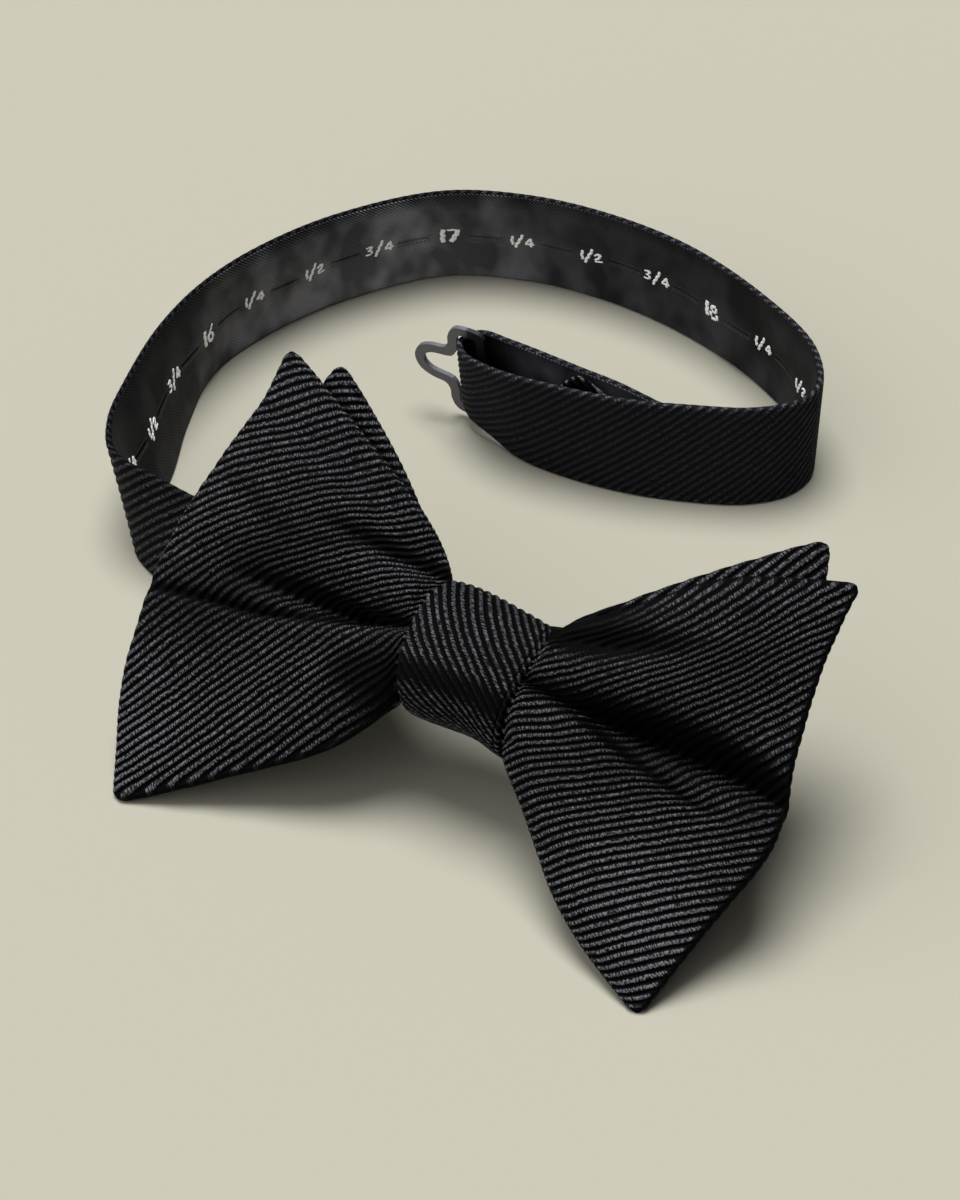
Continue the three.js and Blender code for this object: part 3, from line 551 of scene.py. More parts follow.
def thread_material(name, colour, roughness):
    shader = Shader(name, colour, roughness)
    shader.bump(shader.node("TexNoise", Scale=6000).outputs["Fac"], 0.3, 0.00005)
    return shader.material


def metal_material(name):
    """Gunmetal with painted shade along the eye's bar, where the strap's fold shades it."""
    shader = Shader(name, (0.12, 0.12, 0.135), 0.6, 0.35)
    noise = shader.node("TexNoise", Scale=900, Detail=4).outputs["Fac"]
    shader.give(shader.surface["Roughness"], shader.ramp(noise, [(0.35, 0.55), (0.7, 0.65)]))
    place = shader.split(shader.node("TexCoord").outputs["Object"])["X"]
    # A painted shade colour on the bar
    light, dark = (0.12, 0.12, 0.135), (0.012, 0.012, 0.014)
    tones = [(0.085, light), (0.1, dark), (0.2, dark), (0.35, light)]
    colour = shader.ramp(shader.math("MULTIPLY_ADD", place, 25.0, 0.7), tones)
    shader.give(shader.surface["Base Color"], colour)
    return shader.material


silk = silk_material("black_ribbed_silk")
satin = lining_material("black_lining_satin")
mark_white = thread_material("white_mark_thread", (0.97, 0.97, 0.97), 0.6)
slot_black = thread_material("black_slot_thread", (0.03, 0.03, 0.034), 0.5)
gunmetal = metal_material("dark_gunmetal")


# Pieces

def place_object(name, data):
    made = bpy.data.objects.new(name, data)
    bpy.context.scene.collection.objects.link(made)
    return made


def make_piece(name, points, faces, weave, material, slot, shade=1.0, level=None, veil=0.0):
    """One mesh piece from points in world millimetres; weave is along the ribs and across them.

    shade is painted shade, how open the thread lies to the light, level the painted light and shade,
    how much of it comes back, and veil an even painted sheen over crests and grooves alike.
    """
    mesh = bpy.data.meshes.new(name)
    points = np.column_stack([points[:, :2], np.maximum(points[:, 2], FLOOR_CLEARANCE)])
    mesh.from_pydata((points * MM).tolist(), [], [list(face) for face in faces])
    mesh.polygons.foreach_set("use_smooth", [True] * len(mesh.polygons))
    if weave is not None:
        layer = mesh.uv_layers.new(name="weave")
        corner = np.zeros(len(mesh.loops), np.int32)
        mesh.loops.foreach_get("vertex_index", corner)
        uv = np.stack([part.ravel() for part in weave], 1)[corner]
        layer.data.foreach_set("uv", uv.astype(np.float32).ravel())
    level = shade if level is None else level
    colours = np.empty((len(points), 4), np.float32)
    for channel, part in enumerate((shade, level, veil, level)):
        colours[:, channel] = np.ravel(part)
    tone = mesh.color_attributes.new(name="shade", type="FLOAT_COLOR", domain="POINT")
    tone.data.foreach_set("color", colours.ravel())
    mesh.update()
    piece = place_object(name, mesh)
    mesh.materials.append(material)
    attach(piece, "root")
    return piece


def silk_piece(name, points, faces, weave, **light):
    return make_piece(name, points, faces, weave, silk, "ribbed_silk", **light)


# The leaves of the bow

def along_line(line, across, **ends):
    """The columns of a table of points after its first, at each place across."""
    line = np.array(sorted(line)).T
    return [np.interp(across, line[0], column, **ends) for column in line[1:]]


def crease_depth(creases, across, up):
    """How deep the creases press the leaf's surface at each place."""
    depth = np.zeros_like(across)
    for crease in creases:
        middle, deep, above, below = along_line(crease, across)
        offset = up - middle
        depth += deep * np.exp(-np.abs(offset / np.where(offset > 0, above, below)) ** 1.5)
    return depth


def painted_fold_shade(bands, across, up):
    """Painted shade over the folds at each place, as a light from 1 in the open to 0."""
    light = np.ones_like(across)
    for soft_low, soft_high, band in bands:
        low, high, dark = along_line(band, across, left=0, right=0)
        over_low = ease((up - low + soft_low) / (2 * soft_low))
        under_high = ease((high + soft_high - up) / (2 * soft_high))
        light = light * (1 - dark * over_low * under_high)
    return light


def rounded_tips(edge, up):
    """A leaf's outer edge, drawn in at both its tips."""
    along = distances(np.stack([edge, up], 1))
    corner = np.clip(np.minimum(along, along[-1] - along) / TIP_RADIUS, 0, 1)
    return edge - TIP_RADIUS * (1 - np.sqrt(1 - (1 - corner) ** 2))


def root_limit(away, up):
    """How far out a leaf may stand, so far away from the knot's rim."""
    level = np.clip(np.abs(up - KNOT["up"]) / KNOT["half"], 0, 1)
    face = KNOT["front"] * (1 - level ** KNOT_ROUND["side"]) ** (1 / KNOT_ROUND["front"])
    return np.maximum(face - ROOT_DEPTH, ROOT_FLOOR) + ROOT_SLOPE * np.abs(away)


class Leaf:
    """A folded leaf of ribbed silk: two faces about its middle surface and a round rim.

    Its columns run from the lower to the upper edge. The first is the root inside the knot
    and the last is the outer edge.
    """

    def __init__(self, side, rib_turn, folds, dark, creases=(), glow=(), hem=None, edge_shade=NO_EDGE_SHADE):
        self.side, self.glow, self.hem, self.edge_shade = side, glow, hem, edge_shade
        rib_angle = self.rib_angle = math.radians(rib_turn)
        self.rim = RIM_RADIUS * (1 - np.cos(np.linspace(0, 0.5 * math.pi, RIM_STEPS)))
        inner = np.arange(0, LEAF_WIDTH - RIM_RADIUS, COLUMN_STEP) / LEAF_WIDTH
        reach = np.concatenate([inner, 1 - self.rim[::-1] / LEAF_WIDTH]) ** (2 / 3)
        rise = self.rise = np.linspace(0, 1, COLUMN_SAMPLES)
        edge, up, out, *ribs = (np.array(column) for column in zip(*folds))
        edge, root_up = smooth(edge, rise), smooth(up[:, 0], rise)
        up, out = (smooth(smooth(table.T, reach).T, rise) for table in (up, out))
        edge = rounded_tips(edge, up[:, -1])
        rims = KNOT_LEFT_RIM if side < 0 else KNOT_RIGHT_RIM
        root = smooth(rims, 0.5 + (root_up - KNOT["up"]) / (2 * KNOT["half"])) + side * KNOT_GAP
        across = root[:, None] + (side * edge - root)[:, None] * reach ** 1.5
        if ribs:
            ribs = smooth(smooth(ribs[0].T, reach).T, rise)
        else:
            ribs = (up * math.cos(rib_angle) - across * math.sin(rib_angle)) / RIB_PITCH
            ribs = ribs + (RIGHT_BACK_RIBS_FROM if side > 0 else 0)
        out = out + crease_depth(creases, across, up)
        out = out + 0.12 * np.sin(0.62 * across + 0.4 * up) * np.sin(0.47 * up - 0.2 * across + 0.8)
        out = np.minimum(out, root_limit(across - root[:, None], up))
        ribs = ribs + sway(across, up)
        # The root carries on inside the knot
        inside = np.full((len(rise), 1), KNOT["across"] + side * ROOT_INSIDE)
        across = np.hstack([inside, across])
        up = np.hstack([KNOT["up"] + ROOT_UP_SHARE * (up[:, :1] - KNOT["up"]), up])
        out = np.hstack([ROOT_OUT_SHARE * out[:, :1], out])
        self.ribs = np.hstack([ribs[:, :1], ribs])
        reach = np.concatenate([[0], reach])
        self.count = len(reach)
        steps = np.stack([np.diff(table, axis=0) for table in (across, up, out)])
        along = np.cumsum(np.sqrt((steps ** 2).sum(0)), axis=0)
        self.along = np.vstack([np.zeros(self.count), along])
        self.to_edge = np.abs(side * edge - root)[:, None] * (1 - reach ** 1.5)
        # Painted shade over the folds
        light = painted_fold_shade(dark, across, up)
        self.tables = (across, up, out, self.ribs, self.along, self.to_edge, light)

    def column(self, i, samples):
        """Shares of the rise at which column i has a vertex, and an order to join them by."""
        along, ribs = self.along[:, i], self.ribs[:, i]
        near = self.to_edge[:, i].min()
        start = 0.0
        if near < CORNER_RADIUS:
            start = CORNER_RADIUS - math.sqrt(CORNER_RADIUS ** 2 - (CORNER_RADIUS - near) ** 2)
        low = start + self.rim
        high = along[-1] - low[::-1]
        p0, p1 = np.interp(np.interp([low[-1], high[0]], along, self.rise), self.rise, ribs)
        whole = np.arange(math.floor(p0), math.ceil(p1) + 1)
        wanted = (whole[:, None] + samples).ravel()
        wanted = wanted[(wanted > p0 + RIB_CLEARANCE) & (wanted < p1 - RIB_CLEARANCE)]
        low, high = (np.interp(place, along, self.rise) for place in (low, high))
        t = np.concatenate([low, np.interp(wanted, ribs, self.rise), high])
        rim = np.arange(RIM_STEPS)
        return t, np.concatenate([rim - BEYOND_RIBS, wanted, rim + BEYOND_RIBS])

    def vertices(self, i, t, face):
        """Points on one face of column i, then their weave, relief, painted shade and painted light."""
        across, up, out, phase, along, a, light = (
            np.interp(t, self.rise, table[:, i]) for table in self.tables
        )
        past = self.along[-1, i] - along
        b = np.minimum(along, past)
        corner = (a < CORNER_RADIUS) & (b < CORNER_RADIUS)
        rounded = CORNER_RADIUS - np.hypot(CORNER_RADIUS - a, CORNER_RADIUS - b)
        d = np.maximum(np.where(corner, rounded, np.minimum(a, b)), 0)
        d[[0, -1]] = 0
        if i == self.count - 1:
            d = d * 0
        half = np.sqrt(np.maximum(RIM_RADIUS ** 2 - (RIM_RADIUS - np.minimum(d, RIM_RADIUS)) ** 2, 0))
        half = half + (LEAF_HALF - RIM_RADIUS) * ease((d - RIM_RADIUS) / FILL_REACH)
        droop = EDGE_DROOP * np.clip(1 - d / DROOP_REACH, 0, 1) ** 2
        points = np.stack([across, up, out + face * half - droop], 1)
        run = across * math.cos(self.rib_angle) + up * math.sin(self.rib_angle)
        # Painted shade along the outer edge
        edge_shade = np.interp(up, *self.edge_shade)
        light = light * (1 - EDGE_SHADE_DARK * ease((edge_shade - a) / EDGE_SHADE_SOFT + 0.5) * (edge_shade > 0))
        sewn = {"low": along, "high": past}.get(self.hem, FAR_FROM_HEM)
        light = light * (1 - HEM_LINE_DARK * np.exp(-((sewn - HEM_LINE) / HEM_LINE_SOFT) ** 2))
        # Painted shade along the leaf's edge at the hem
        light = light * (1 - HEM_EDGE_PAINTED_SHADE * ease((HEM_EDGE - sewn) / HEM_EDGE_SOFT))
        # Painted light and painted shade in soft spots over the leaf
        gain = 1 + sum(
            g * np.exp(-((across - x) ** 2 + (up - v) ** 2) / (2 * r * r)) for x, v, r, g in self.glow
        )
        flatter = HEM_FLAT_SHARE + (1 - HEM_FLAT_SHARE) * ease((sewn - HEM_FLAT) / HEM_FLAT_SOFT)
        inside = RIM_RELIEF + (1 - RIM_RELIEF) * ease((d - 0.2) / RIM_RADIUS)
        return points, run, phase, rib_relief(phase) * flatter * inside, light, light * gain

    def piece(self, name):
        parts, front, back = [], [], []
        made = 0
        for i in range(self.count):
            t, order = self.column(i, RIB_SAMPLES)
            parts.append(self.vertices(i, t, 1))
            front.append((made + np.arange(len(t)), order))
            made += len(t)
        # The back shares the front's rims and its outer edge
        for i in range(self.count - 1):
            t, order = self.column(i, RIB_SAMPLES_COARSE)
            parts.append(self.vertices(i, t[1:-1], -1))
            rims = front[i][0]
            back.append((np.concatenate([rims[:1], made + np.arange(len(t) - 2), rims[-1:]]), order))
            made += len(t) - 2
        back.append(front[-1])
        points, run, phase, relief, shade, level = (np.concatenate(part) for part in zip(*parts))
        faces, right = [], self.side > 0
        for lines, keep in ((front, right), (back, not right), ([front[0], back[0]], right)):
            for a, b in zip(lines[:-1], lines[1:]):
                triangles = strip(*a, *b)
                faces.append(triangles if keep else triangles[:, ::-1])
        faces = np.vstack(faces)
        faces = faces[(faces != np.roll(faces, 1, axis=1)).all(axis=1)]
        points = points + vertex_normals(points, faces) * relief[:, None]
        return silk_piece(name, bow_to_world(points), faces, (run, phase), shade=shade, level=level)


# The knot

def knot_loop():
    """Even points round the knot's section from its top round the front, and their arc."""
    angle = 2 * math.pi * np.arange(KNOT_AROUND) / KNOT_AROUND
    c, s = np.cos(angle), np.sin(angle)
    depth = np.where(s > 0, KNOT["front"], KNOT["back"])
    power = 2 / np.where(s > 0, KNOT_ROUND["front"], KNOT_ROUND["back"])
    up = np.sign(c) * np.abs(c) ** (2 / KNOT_ROUND["side"]) * KNOT["half"]
    out = np.sign(s) * np.abs(s) ** power * depth
    closed = np.stack([np.append(up, up[0]), np.append(out, out[0])], 1)
    length = distances(closed)
    even = np.linspace(0, length[-1], KNOT_AROUND, endpoint=False)
    loop = np.stack([np.interp(even, length, closed[:, k]) for k in range(2)], 1)
    return loop, np.where(even > 0.75 * length[-1], even - length[-1], even)


def knot_ribs(x, arc):
    """Rib count over the knot, whose ribs turn a little steeper towards its underside."""
    below = np.clip(arc, 0, KNOT_UNDERSIDE)
    return 0.645 * x - 0.29 * arc - 0.0042 * x * below - 0.0062 * below ** 2 + KNOT_RIBS_FROM


def knot_piece(name):
    """The band of silk wrapped round the middle of the bow, with rolled rims."""
    loop, arc = knot_loop()
    step = np.roll(loop, -1, axis=0) - np.roll(loop, 1, axis=0)
    normal = np.stack([-step[:, 1], step[:, 0]], 1)
    normal /= np.linalg.norm(normal, axis=1, keepdims=True)
    normal *= np.sign((normal * loop).sum(1, keepdims=True))
    height = (loop[:, 0] / KNOT["half"] + 1) / 2
    left = smooth(KNOT_LEFT_RIM, height)[:, None]
    right = smooth(KNOT_RIGHT_RIM, height)[:, None]
    r = KNOT_RIM_RADIUS
    turn = np.linspace(KNOT_ROLL, 0, KNOT_ROLL_STEPS)
    inner = np.linspace(0, 1, KNOT_ACROSS)[1:-1]
    place = np.hstack([
        left + r * (1 - np.sin(turn)), left + r + (right - left - 2 * r) * inner,
        right - r * (1 - np.sin(turn[::-1])),
    ])
    bulge = KNOT_RIM_DROP * np.abs(2 * inner - 1) ** 2.6
    rolled = KNOT_RIM_DROP + r * (1 - np.cos(turn))
    seam = np.exp(-((right - SEAM_FROM_RIM - place) / SEAM_SOFT) ** 2)
    drop = np.concatenate([rolled, bulge, rolled[::-1]]) + SEAM_DEPTH * seam
    share = (place - left) / (right - left)
    level = loop[:, :1] / KNOT["half"]
    lift = smooth(KNOT_TOP_LIFT, share) * np.clip(level, 0, 1)
    lift = lift + smooth(KNOT_FOOT_LIFT, share) * np.clip(-level, 0, 1)
    up = KNOT["up"] + loop[:, :1] - normal[:, :1] * drop + lift
    out = loop[:, 1:] - normal[:, 1:] * drop
    points = np.stack([place, up, out], -1)
    # The ribs are counted along the bulged band from its middle
    girth = np.linalg.norm(np.diff(points, axis=1), axis=2).cumsum(axis=1)
    girth = np.hstack([np.zeros((KNOT_AROUND, 1)), girth])
    middle = place.shape[1] // 2
    girth = girth + (place - girth)[:, middle:middle + 1]
    run = np.broadcast_to(arc[:, None], place.shape)
    phase = knot_ribs(girth, run) + sway(girth, run)
    faces = grid_faces(*place.shape, wrap=True)
    relief = rib_relief(phase) * KNOT_RELIEF
    points, faces = raised(points, faces, relief, points - [KNOT["across"], KNOT["up"], 0])
    # Painted shade across the fold on the knot's front and in the seam's groove, under its painted light
    fold = ease((FOLD_HALF - np.abs(level - FOLD_LEVEL)) / FOLD_SOFT) * (loop[:, 1:] > 0)
    light = (KNOT_PAINTED_LIGHT - FOLD_PAINTED_SHADE * fold) * (1 - SEAM_PAINTED_SHADE * seam)
    return silk_piece(name, bow_to_world(points), faces, (run, phase), shade=light)


# The strap and its lining

def curve_points(points, place):
    """Points on a centripetal Catmull-Rom curve; place counts sections from the first."""
    first = 2 * points[0] - points[1]
    last = 2 * points[-1] - points[-2]
    padded = np.vstack([first, points, last])
    i = np.minimum(place.astype(int), len(points) - 2)
    w = (place - i)[:, None]
    p0, p1, p2, p3 = (padded[i + k] for k in range(4))
    d0, d1, d2 = (
        np.linalg.norm(b - a, axis=1, keepdims=True) ** 0.5 for a, b in ((p0, p1), (p1, p2), (p2, p3))
    )
    m1 = ((p1 - p0) / d0 - (p2 - p0) / (d0 + d1) + (p2 - p1) / d1) * d1
    m2 = ((p2 - p1) / d1 - (p3 - p1) / (d1 + d2) + (p3 - p2) / d2) * d1
    return p1 + m1 * w + (-3 * p1 + 3 * p2 - 2 * m1 - m2) * w ** 2 + (2 * p1 - 2 * p2 + m1 + m2) * w ** 3


class Strap:
    """The strap's middle surface by distance along it."""

    def __init__(self):
        rows = np.array(STRAP_SECTIONS, float)
        low, over = rows[:, :3], rows[:, 3:5]
        height = np.sqrt(rows[:, 5] ** 2 - (over ** 2).sum(1))
        high = np.column_stack([low[:, :2] + over, low[:, 2] + height])
        place = [0.0]
        for i in range(len(rows) - 1):
            count = max(2, int(np.linalg.norm(low[i + 1] - low[i]) / STRAP_STEP))
            place += [i + k / count for k in range(1, count + 1)]
        place = np.array(place)
        self.low = curve_points(low, place) + STRAP_SHIFT
        self.high = curve_points(high, place) + STRAP_SHIFT
        self.low[:, 2] = np.maximum(self.low[:, 2], 0)
        middle = (self.low + self.high) / 2
        inward = np.cross(np.gradient(middle, axis=0), self.high - self.low)
        self.inward = inward / np.linalg.norm(inward, axis=1, keepdims=True)
        self.s = distances(middle)
        self.length = self.s[-1]
        # Distance along the lining, counted from where it starts
        tape = distances(middle + self.inward * LINING_LINE_DEPTH)
        self.tape = tape - np.interp(TAPE_FROM_SECTION, place, tape)
        self.tape_start = np.interp(TAPE_FROM_SECTION, place, self.s)

    def tape_to_strap(self, distance):
        return np.interp(distance, self.tape, self.s)

    def slots(self):
        """The middle of each buttonhole slot, by distance along the strap."""
        return [self.tape_to_strap(SLOT_FIRST + SLOT_SPACING * k) for k in range(SLOT_COUNT)]

    def pick(self, table, s):
        return np.stack([np.interp(s, self.s, table[:, k]) for k in range(3)], -1)

    def at(self, s, share, depth):
        """Points at distance s, a share of the way up, and so deep inward from the middle."""
        low, high, inward = (self.pick(table, s) for table in (self.low, self.high, self.inward))
        return low + (high - low) * share[..., None] + inward * depth[..., None]


def strap_profile():
    """Rows round the strap's section: distance round it, height and depth."""
    centre, r = STRAP_CENTRE, STRAP_EDGE
    low = [(STRAP_TURN_IN, centre + r)]
    low += [(r - r * math.sin(a), centre + r * math.cos(a)) for a in np.linspace(0, math.pi, 8)]
    face = [(h, centre - r) for h in np.linspace(r, STRAP_WIDTH - r, 26)[1:-1]]
    high = [(STRAP_WIDTH - h, depth) for h, depth in low[::-1]]
    rows = np.array(low + face + high)
    return distances(rows), rows[:, 0], rows[:, 1]


def strap_piece(name, strap):
    """The strap's ribbed silk, turned in over both edges, with its grid laid along the ribs."""
    girth, height, depth = strap_profile()
    c, s = math.cos(STRAP_RIB_ANGLE), math.sin(STRAP_RIB_ANGLE)
    last = (strap.length * s + girth[-1] * c) / STRAP_RIB_PITCH
    count = np.arange(0, math.ceil(last) + 1)
    phase = (count[:, None] + RIB_SAMPLES).ravel()
    where = np.clip((phase[:, None] * STRAP_RIB_PITCH - girth * c) / s, 0, strap.length)
    share = np.broadcast_to(height / STRAP_WIDTH, where.shape)
    points = strap.at(where, share, np.broadcast_to(depth, where.shape))
    faces = grid_faces(*where.shape)
    faces = faces[np.ptp(where.ravel()[faces], axis=1) > 1e-6]
    phase = (where * s + girth * c) / STRAP_RIB_PITCH
    inner = ease((np.minimum(height, STRAP_WIDTH - height) - 0.2) / 0.9)
    relief = rib_relief(phase) * (STRAP_EDGE_RELIEF + (STRAP_RELIEF - STRAP_EDGE_RELIEF) * inner)
    outer = depth < STRAP_CENTRE - 0.9 * STRAP_EDGE
    outward = -strap.pick(strap.inward, where) * outer[:, None]
    points, faces = raised(points, faces, relief, outward)
    run = where * c - girth * s
    # Painted light over the strap's face and its edges, and a painted sheen
    light, rim, veil = (
        np.interp(where, strap.length * STRAP_TURN, ends)
        for ends in (STRAP_PAINTED_LIGHT, STRAP_EDGE_PAINTED_LIGHT, STRAP_PAINTED_SHEEN)
    )
    light = light + (rim - light) * (1 - inner)
    return silk_piece(name, points, faces, (run, phase), level=light, veil=veil)


def lining_depth(s, height):
    """Depth of the lining: it lies over the strap's round edges, with soft dents between."""
    edge = np.minimum(height, STRAP_WIDTH - height)
    round_off = STRAP_EDGE - np.clip(edge, 0, STRAP_EDGE)
    depth = STRAP_CENTRE + np.sqrt(STRAP_EDGE ** 2 - round_off ** 2) + LINING_OVER
    loose = np.clip((edge - 0.8) / 4.0, 0, 1) ** 1.2
    share = height / STRAP_WIDTH
    wave = 0.42 * np.sin(s / 5.1 + 2.0 * np.sin(s / 23.0) + 1.6 * share)
    wave = wave + 0.26 * np.sin(s / 8.3 + 1.3 - 2.4 * share) + 0.12 * np.sin(s / 2.9 + 3.0 * share)
    return depth + loose * np.maximum(wave, -0.2)


def lining_piece(name, strap):
    """The lining tape on the strap's inner face, with its row of buttonhole slots."""
    low, high = LINING_MARGIN, STRAP_WIDTH - LINING_MARGIN
    # Rows of the grid stand close beside the slots and along both edges
    near = np.array([0.07, 0.15, 0.3, 0.5, 0.9, 1.6])
    rim = np.array([0.0, 0.05, 0.12, 0.25, 0.5])
    heights = np.concatenate([
        low + rim, np.linspace(low + 1.2, SLOT_LINE - 2.4, 8), SLOT_LINE - near[::-1], [SLOT_LINE],
        SLOT_LINE + near, np.linspace(SLOT_LINE + 2.4, high - 1.2, 8), high - rim[::-1],
    ])
    start = strap.tape_start
    steps = np.linspace(start, strap.length - 0.3, int((strap.length - start) / 0.4))
    s, height = np.meshgrid(steps, heights, indexing="ij")
    edge = np.minimum(height - low, high - height)
    depth = lining_depth(s, height) - LINING_OVER * (1 - np.clip(edge / 0.12, 0, 1)) ** 2
    aside = np.abs(height - SLOT_LINE)
    slit = 1 - ease((aside - 0.05) / 0.17)
    lip = np.exp(-((aside - 0.4) / 0.3) ** 2)
    for at in strap.slots():
        inside = ease((SLOT_LENGTH / 2 + 0.25 - np.abs(s - at)) / 0.5)
        depth = depth + inside * (SLOT_LIP * lip - SLOT_DEPTH * slit)
    points = strap.at(s, height / STRAP_WIDTH, depth)
    points, faces = raised(points, grid_faces(*s.shape), np.zeros_like(s), strap.pick(strap.inward, s))
    # Painted light and shade along the lining, stronger towards its foot
    light = np.interp(s - start, *LINING_PAINTED_LIGHT) * (1 + LINING_FOOT_PAINTED_LIGHT * (1 - height / STRAP_WIDTH) ** 2)
    return make_piece(name, points, faces, (s, height), satin, "lining_satin", light)


def tab_piece(name):
    """The folded tab between the strap's layers: a thin band of silk, doubled over its top."""
    side, foot = TAB["half"], TAB["foot"]
    along = np.linspace(-side, side, 90)
    top = smooth(np.interp(np.linspace(-side, side, 19), *TAB_TOP), (along + side) / (2 * side))
    end = np.clip((np.abs(along) - side + TAB_RADIUS) / TAB_RADIUS, 0, 1)
    half = TAB_RADIUS * np.sqrt(np.maximum(1 - end ** 2, 0.01))
    straight = [foot + (top - half - foot) * (up - foot) / -foot for up in np.linspace(foot, 0, 14)[:-1]]
    turns = np.linspace(0, math.pi, 9)
    height = straight + [top - half + half * math.sin(a) for a in turns] + straight[::-1]
    depth = [half] * len(straight) + [half * math.cos(a) for a in turns] + [-half] * len(straight)
    height, depth = np.array(height), np.array(depth) + 0.2 * np.sin(0.9 * along)
    across = np.broadcast_to(along, height.shape)
    step = np.sqrt(np.diff(height, axis=0) ** 2 + np.diff(depth, axis=0) ** 2)
    run = np.vstack([np.zeros_like(along), np.cumsum(step, axis=0)])
    phase = (across + run) * math.sqrt(0.5) / STRAP_RIB_PITCH
    lean, turn = math.radians(90 + TAB["lean"]), math.radians(TAB["turn"])
    y = height * math.cos(lean) - depth * math.sin(lean)
    z = height * math.sin(lean) + depth * math.cos(lean)
    c, s = math.cos(turn), math.sin(turn)
    points = np.stack([across * c - y * s, across * s + y * c, z], -1) + STRAP_SHIFT + TAB["at"]
    outward = points - points.mean((0, 1))
    points, faces = raised(points, grid_faces(*height.shape), TAB["relief"] * rib_relief(phase), outward)
    # Painted light over the fold at the tab's top, and painted shade on its faces below it
    rim = np.clip(1.8 - 2.2 * (top - height) / 0.7, 0.2, 1.8)
    return silk_piece(name, points, faces, (run, phase), level=rim)


# The threads of the marks and slots

def thread_piece(name, strap, threads, material, slot):
    """Small raised threads on the lining: each is its middle, half length and width, turn and lift."""
    ring = [(-1, -0.6), (-0.75, -1), (0.75, -1), (1, -0.6), (1, 0.6), (0.75, 1), (-0.75, 1), (-1, 0.6)]
    crown = [(-0.6, -0.6), (0.6, -0.6), (0.6, 0.6), (-0.6, 0.6)]
    shape = np.array([(*p, 0) for p in ring] + [(*p, 1) for p in crown], float)
    sides = [
        (8, 9, 10, 11), (0, 1, 8), (1, 2, 9, 8), (2, 3, 9), (3, 4, 10, 9), (4, 5, 10), (5, 6, 11, 10),
        (6, 7, 11), (7, 0, 8, 11),
    ]
    points, faces = [], []
    for along, height, half_length, half_width, turn, lift in threads:
        c, s = math.cos(turn), math.sin(turn)
        u, v = shape[:, 0] * half_length, shape[:, 1] * half_width
        at = along + u * c - v * s
        up = height + u * s + v * c
        first = len(shape) * len(points)
        depth = lining_depth(at, up) - THREAD_SINK + shape[:, 2] * lift
        points.append(strap.at(at, up / STRAP_WIDTH, depth))
        faces += [[first + k for k in side] for side in sides]
    return make_piece(name, np.vstack(points), faces, None, material, slot)


def sign_threads(strokes, left, bottom):
    """Dashes of thread, laid end to end with a slight stagger along each stroke of a sign."""
    found = []
    for x0, y0, x1, y1, width in strokes:
        length = math.hypot(x1 - x0, y1 - y0)
        turn = math.atan2(y1 - y0, x1 - x0)
        count = max(1, round(length / DASH_LENGTH))
        for k in range(count):
            share = (k + 0.5) / count
            aside = (DASH_STAGGER if k % 2 else -DASH_STAGGER) * min(1.0, width / THIN_STROKE)
            x = left + x0 + (x1 - x0) * share - aside * math.sin(turn)
            y = bottom + y0 + (y1 - y0) * share + aside * math.cos(turn)
            found.append((x, y, DASH_HALF * length / count + DASH_OVERLAP, STROKE_HALF * width, turn))
    return found


def mark_threads(label):
    """Threads of one size mark about its own middle."""
    if "/" in label:
        over, under = label.split("/")
        signs, gaps, foot = [SMALL[over], SLASH, SMALL[under]], [0.1, 0.05, 0.0], 0
    else:
        signs = [LARGE[sign] for sign in label]
        gaps, foot = [LARGE_GAP] * (len(signs) - 1) + [0.0], LARGE_FOOT
    found, width = [], 0.0
    for (sign_width, strokes), gap in zip(signs, gaps):
        found += sign_threads(strokes, width, foot)
        width += sign_width + gap
    return [(x - width / 2, y, length, half, turn) for x, y, length, half, turn in found]


def all_marks(strap):
    threads = []
    for k, label in enumerate(MARKS):
        at = strap.tape_to_strap(MARK_FIRST + SLOT_SPACING * k + (0 if k else FIRST_MARK_SHIFT))
        for x, y, length, half, turn in mark_threads(label):
            threads.append((at + x, SLOT_LINE + y, length, half, turn, MARK_LIFT))
    return threads


def all_slot_stitches(strap):
    """The stitches round each slot: short threads across it, most of them below."""
    threads = []
    for at in strap.slots():
        for place in np.arange(STITCHES_PER_SLOT) / (STITCHES_PER_SLOT - 1) - 0.5:
            for along, up, length, width, lift in SLOT_STITCHES:
                where = at + place * SLOT_LENGTH + along
                threads.append((where, SLOT_LINE + up, length, width, math.pi / 2, lift))
    return threads


# The camera, at the photograph's angle
CAMERA_TARGET = np.array([-0.80, -7.12, 0.0]) * MM
CAMERA_DISTANCE = 0.612
azimuth, elevation = math.radians(29.1), math.radians(42.0)
camera_data = bpy.data.cameras.new("camera")
camera_data.sensor_width = 36
camera_data.lens = 114
camera_data.clip_start, camera_data.clip_end = 0.01, 20
camera = place_object("camera", camera_data)
flat = math.cos(elevation)
view_line = np.array([math.sin(azimuth) * flat, -math.cos(azimuth) * flat, math.sin(elevation)])
camera.location = CAMERA_TARGET + CAMERA_DISTANCE * view_line
camera.rotation_euler = (math.pi / 2 - elevation, 0, azimuth)
bpy.context.scene.camera = camera

# The floor and the lights
FLOOR_HALF = 6.0
floor_mesh = bpy.data.meshes.new("floor")
corners = [(x * FLOOR_HALF, y * FLOOR_HALF, 0) for x, y in ((-1, -1), (1, -1), (1, 1), (-1, 1))]
floor_mesh.from_pydata(corners, [], [(0, 1, 2, 3)])
floor = place_object("floor", floor_mesh)
floor_mesh.materials.append(Shader("floor_paint", (0.36, 0.348, 0.287), 0.9, specular=0.0).material)


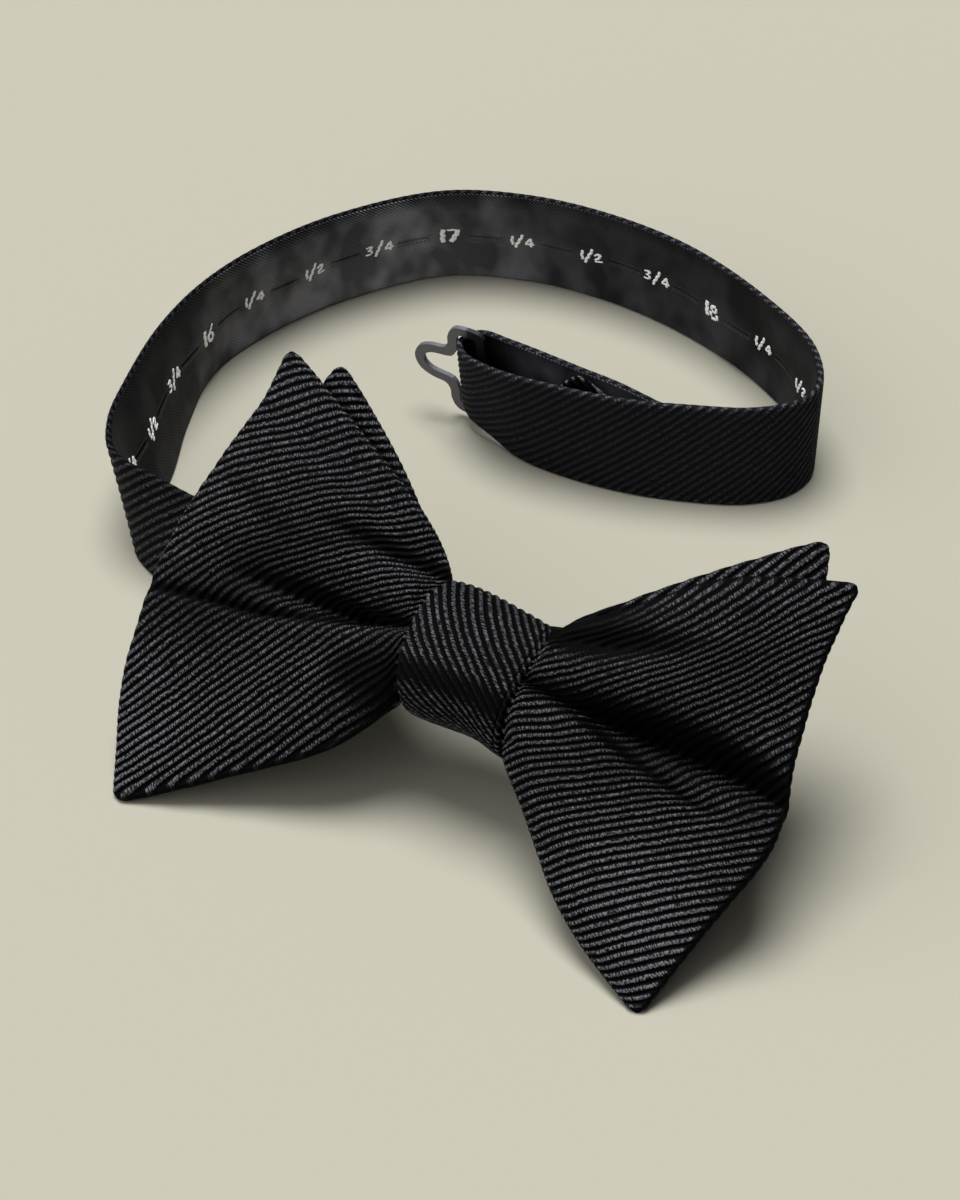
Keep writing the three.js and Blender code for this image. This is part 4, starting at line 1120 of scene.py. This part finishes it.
def sun(name, direction, strength, spread):
    """A soft distant light from a direction that points towards it."""
    data = bpy.data.lights.new(name, "SUN")
    data.energy = strength
    data.angle = math.radians(spread)
    lamp = place_object(name, data)
    lamp.rotation_mode = "QUATERNION"
    lamp.rotation_quaternion = Vector(direction).to_track_quat("Z", "Y")


sun("key_light", (-0.14, 0.12, 0.98), 4.25, 34)
sun("fill_light", (-0.5, -0.7, 0.5), 1.9, 90)
world = bpy.data.worlds.new("studio")
world.use_nodes = True
background = world.node_tree.nodes["Background"].inputs
background["Color"].default_value = (1, 1, 1, 1)
background["Strength"].default_value = 0.08
bpy.context.scene.world = world
bpy.context.scene.view_settings.view_transform = "Standard"

# The bow
left_front = Leaf(-1, 45, LEFT_FRONT, LEFT_PAINTED_SHADE, LEFT_CREASES, LEFT_PAINTED_LIGHT, "low").piece("left_front_silk")
right_front = Leaf(
    1, 46, RIGHT_FRONT, RIGHT_PAINTED_SHADE, RIGHT_CREASES, RIGHT_PAINTED_LIGHT, "high", RIGHT_EDGE_SHADE,
).piece("right_front_silk")
left_back = Leaf(-1, 24, LEFT_BACK, LEFT_BACK_PAINTED_SHADE).piece("left_back_silk")
right_back = Leaf(1, 60, RIGHT_BACK, RIGHT_BACK_PAINTED_SHADE).piece("right_back_silk")
knot = knot_piece("knot_silk")
for piece, node in (
    (left_front, "left_wing_front"), (right_front, "right_wing_front"), (left_back, "left_wing_back"),
    (right_back, "right_wing_back"), (knot, "knot_wrap"),
):
    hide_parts(node)

# The strap
strap = Strap()
band = strap_piece("strap_silk", strap)
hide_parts("neck_strap")
lining = lining_piece("strap_lining", strap)
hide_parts("size_tape")
marks = thread_piece("size_marks", strap, all_marks(strap), mark_white, "mark_thread")
stitches = thread_piece("slot_stitches", strap, all_slot_stitches(strap), slot_black, "lining_satin")

# The metal pieces keep their CAD shape
for node in ("eye_plate", "slot_hook", "stub_hook"):
    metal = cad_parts[node]
    metal.data.materials.clear()
    metal.data.materials.append(gunmetal)
    bevel = metal.modifiers.new("soft_edges", "BEVEL")
    bevel.width = 0.00012
    bevel.segments = 2
    bevel.angle_limit = math.radians(50)
tab = tab_piece("end_tab_silk")
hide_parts("end_tab")
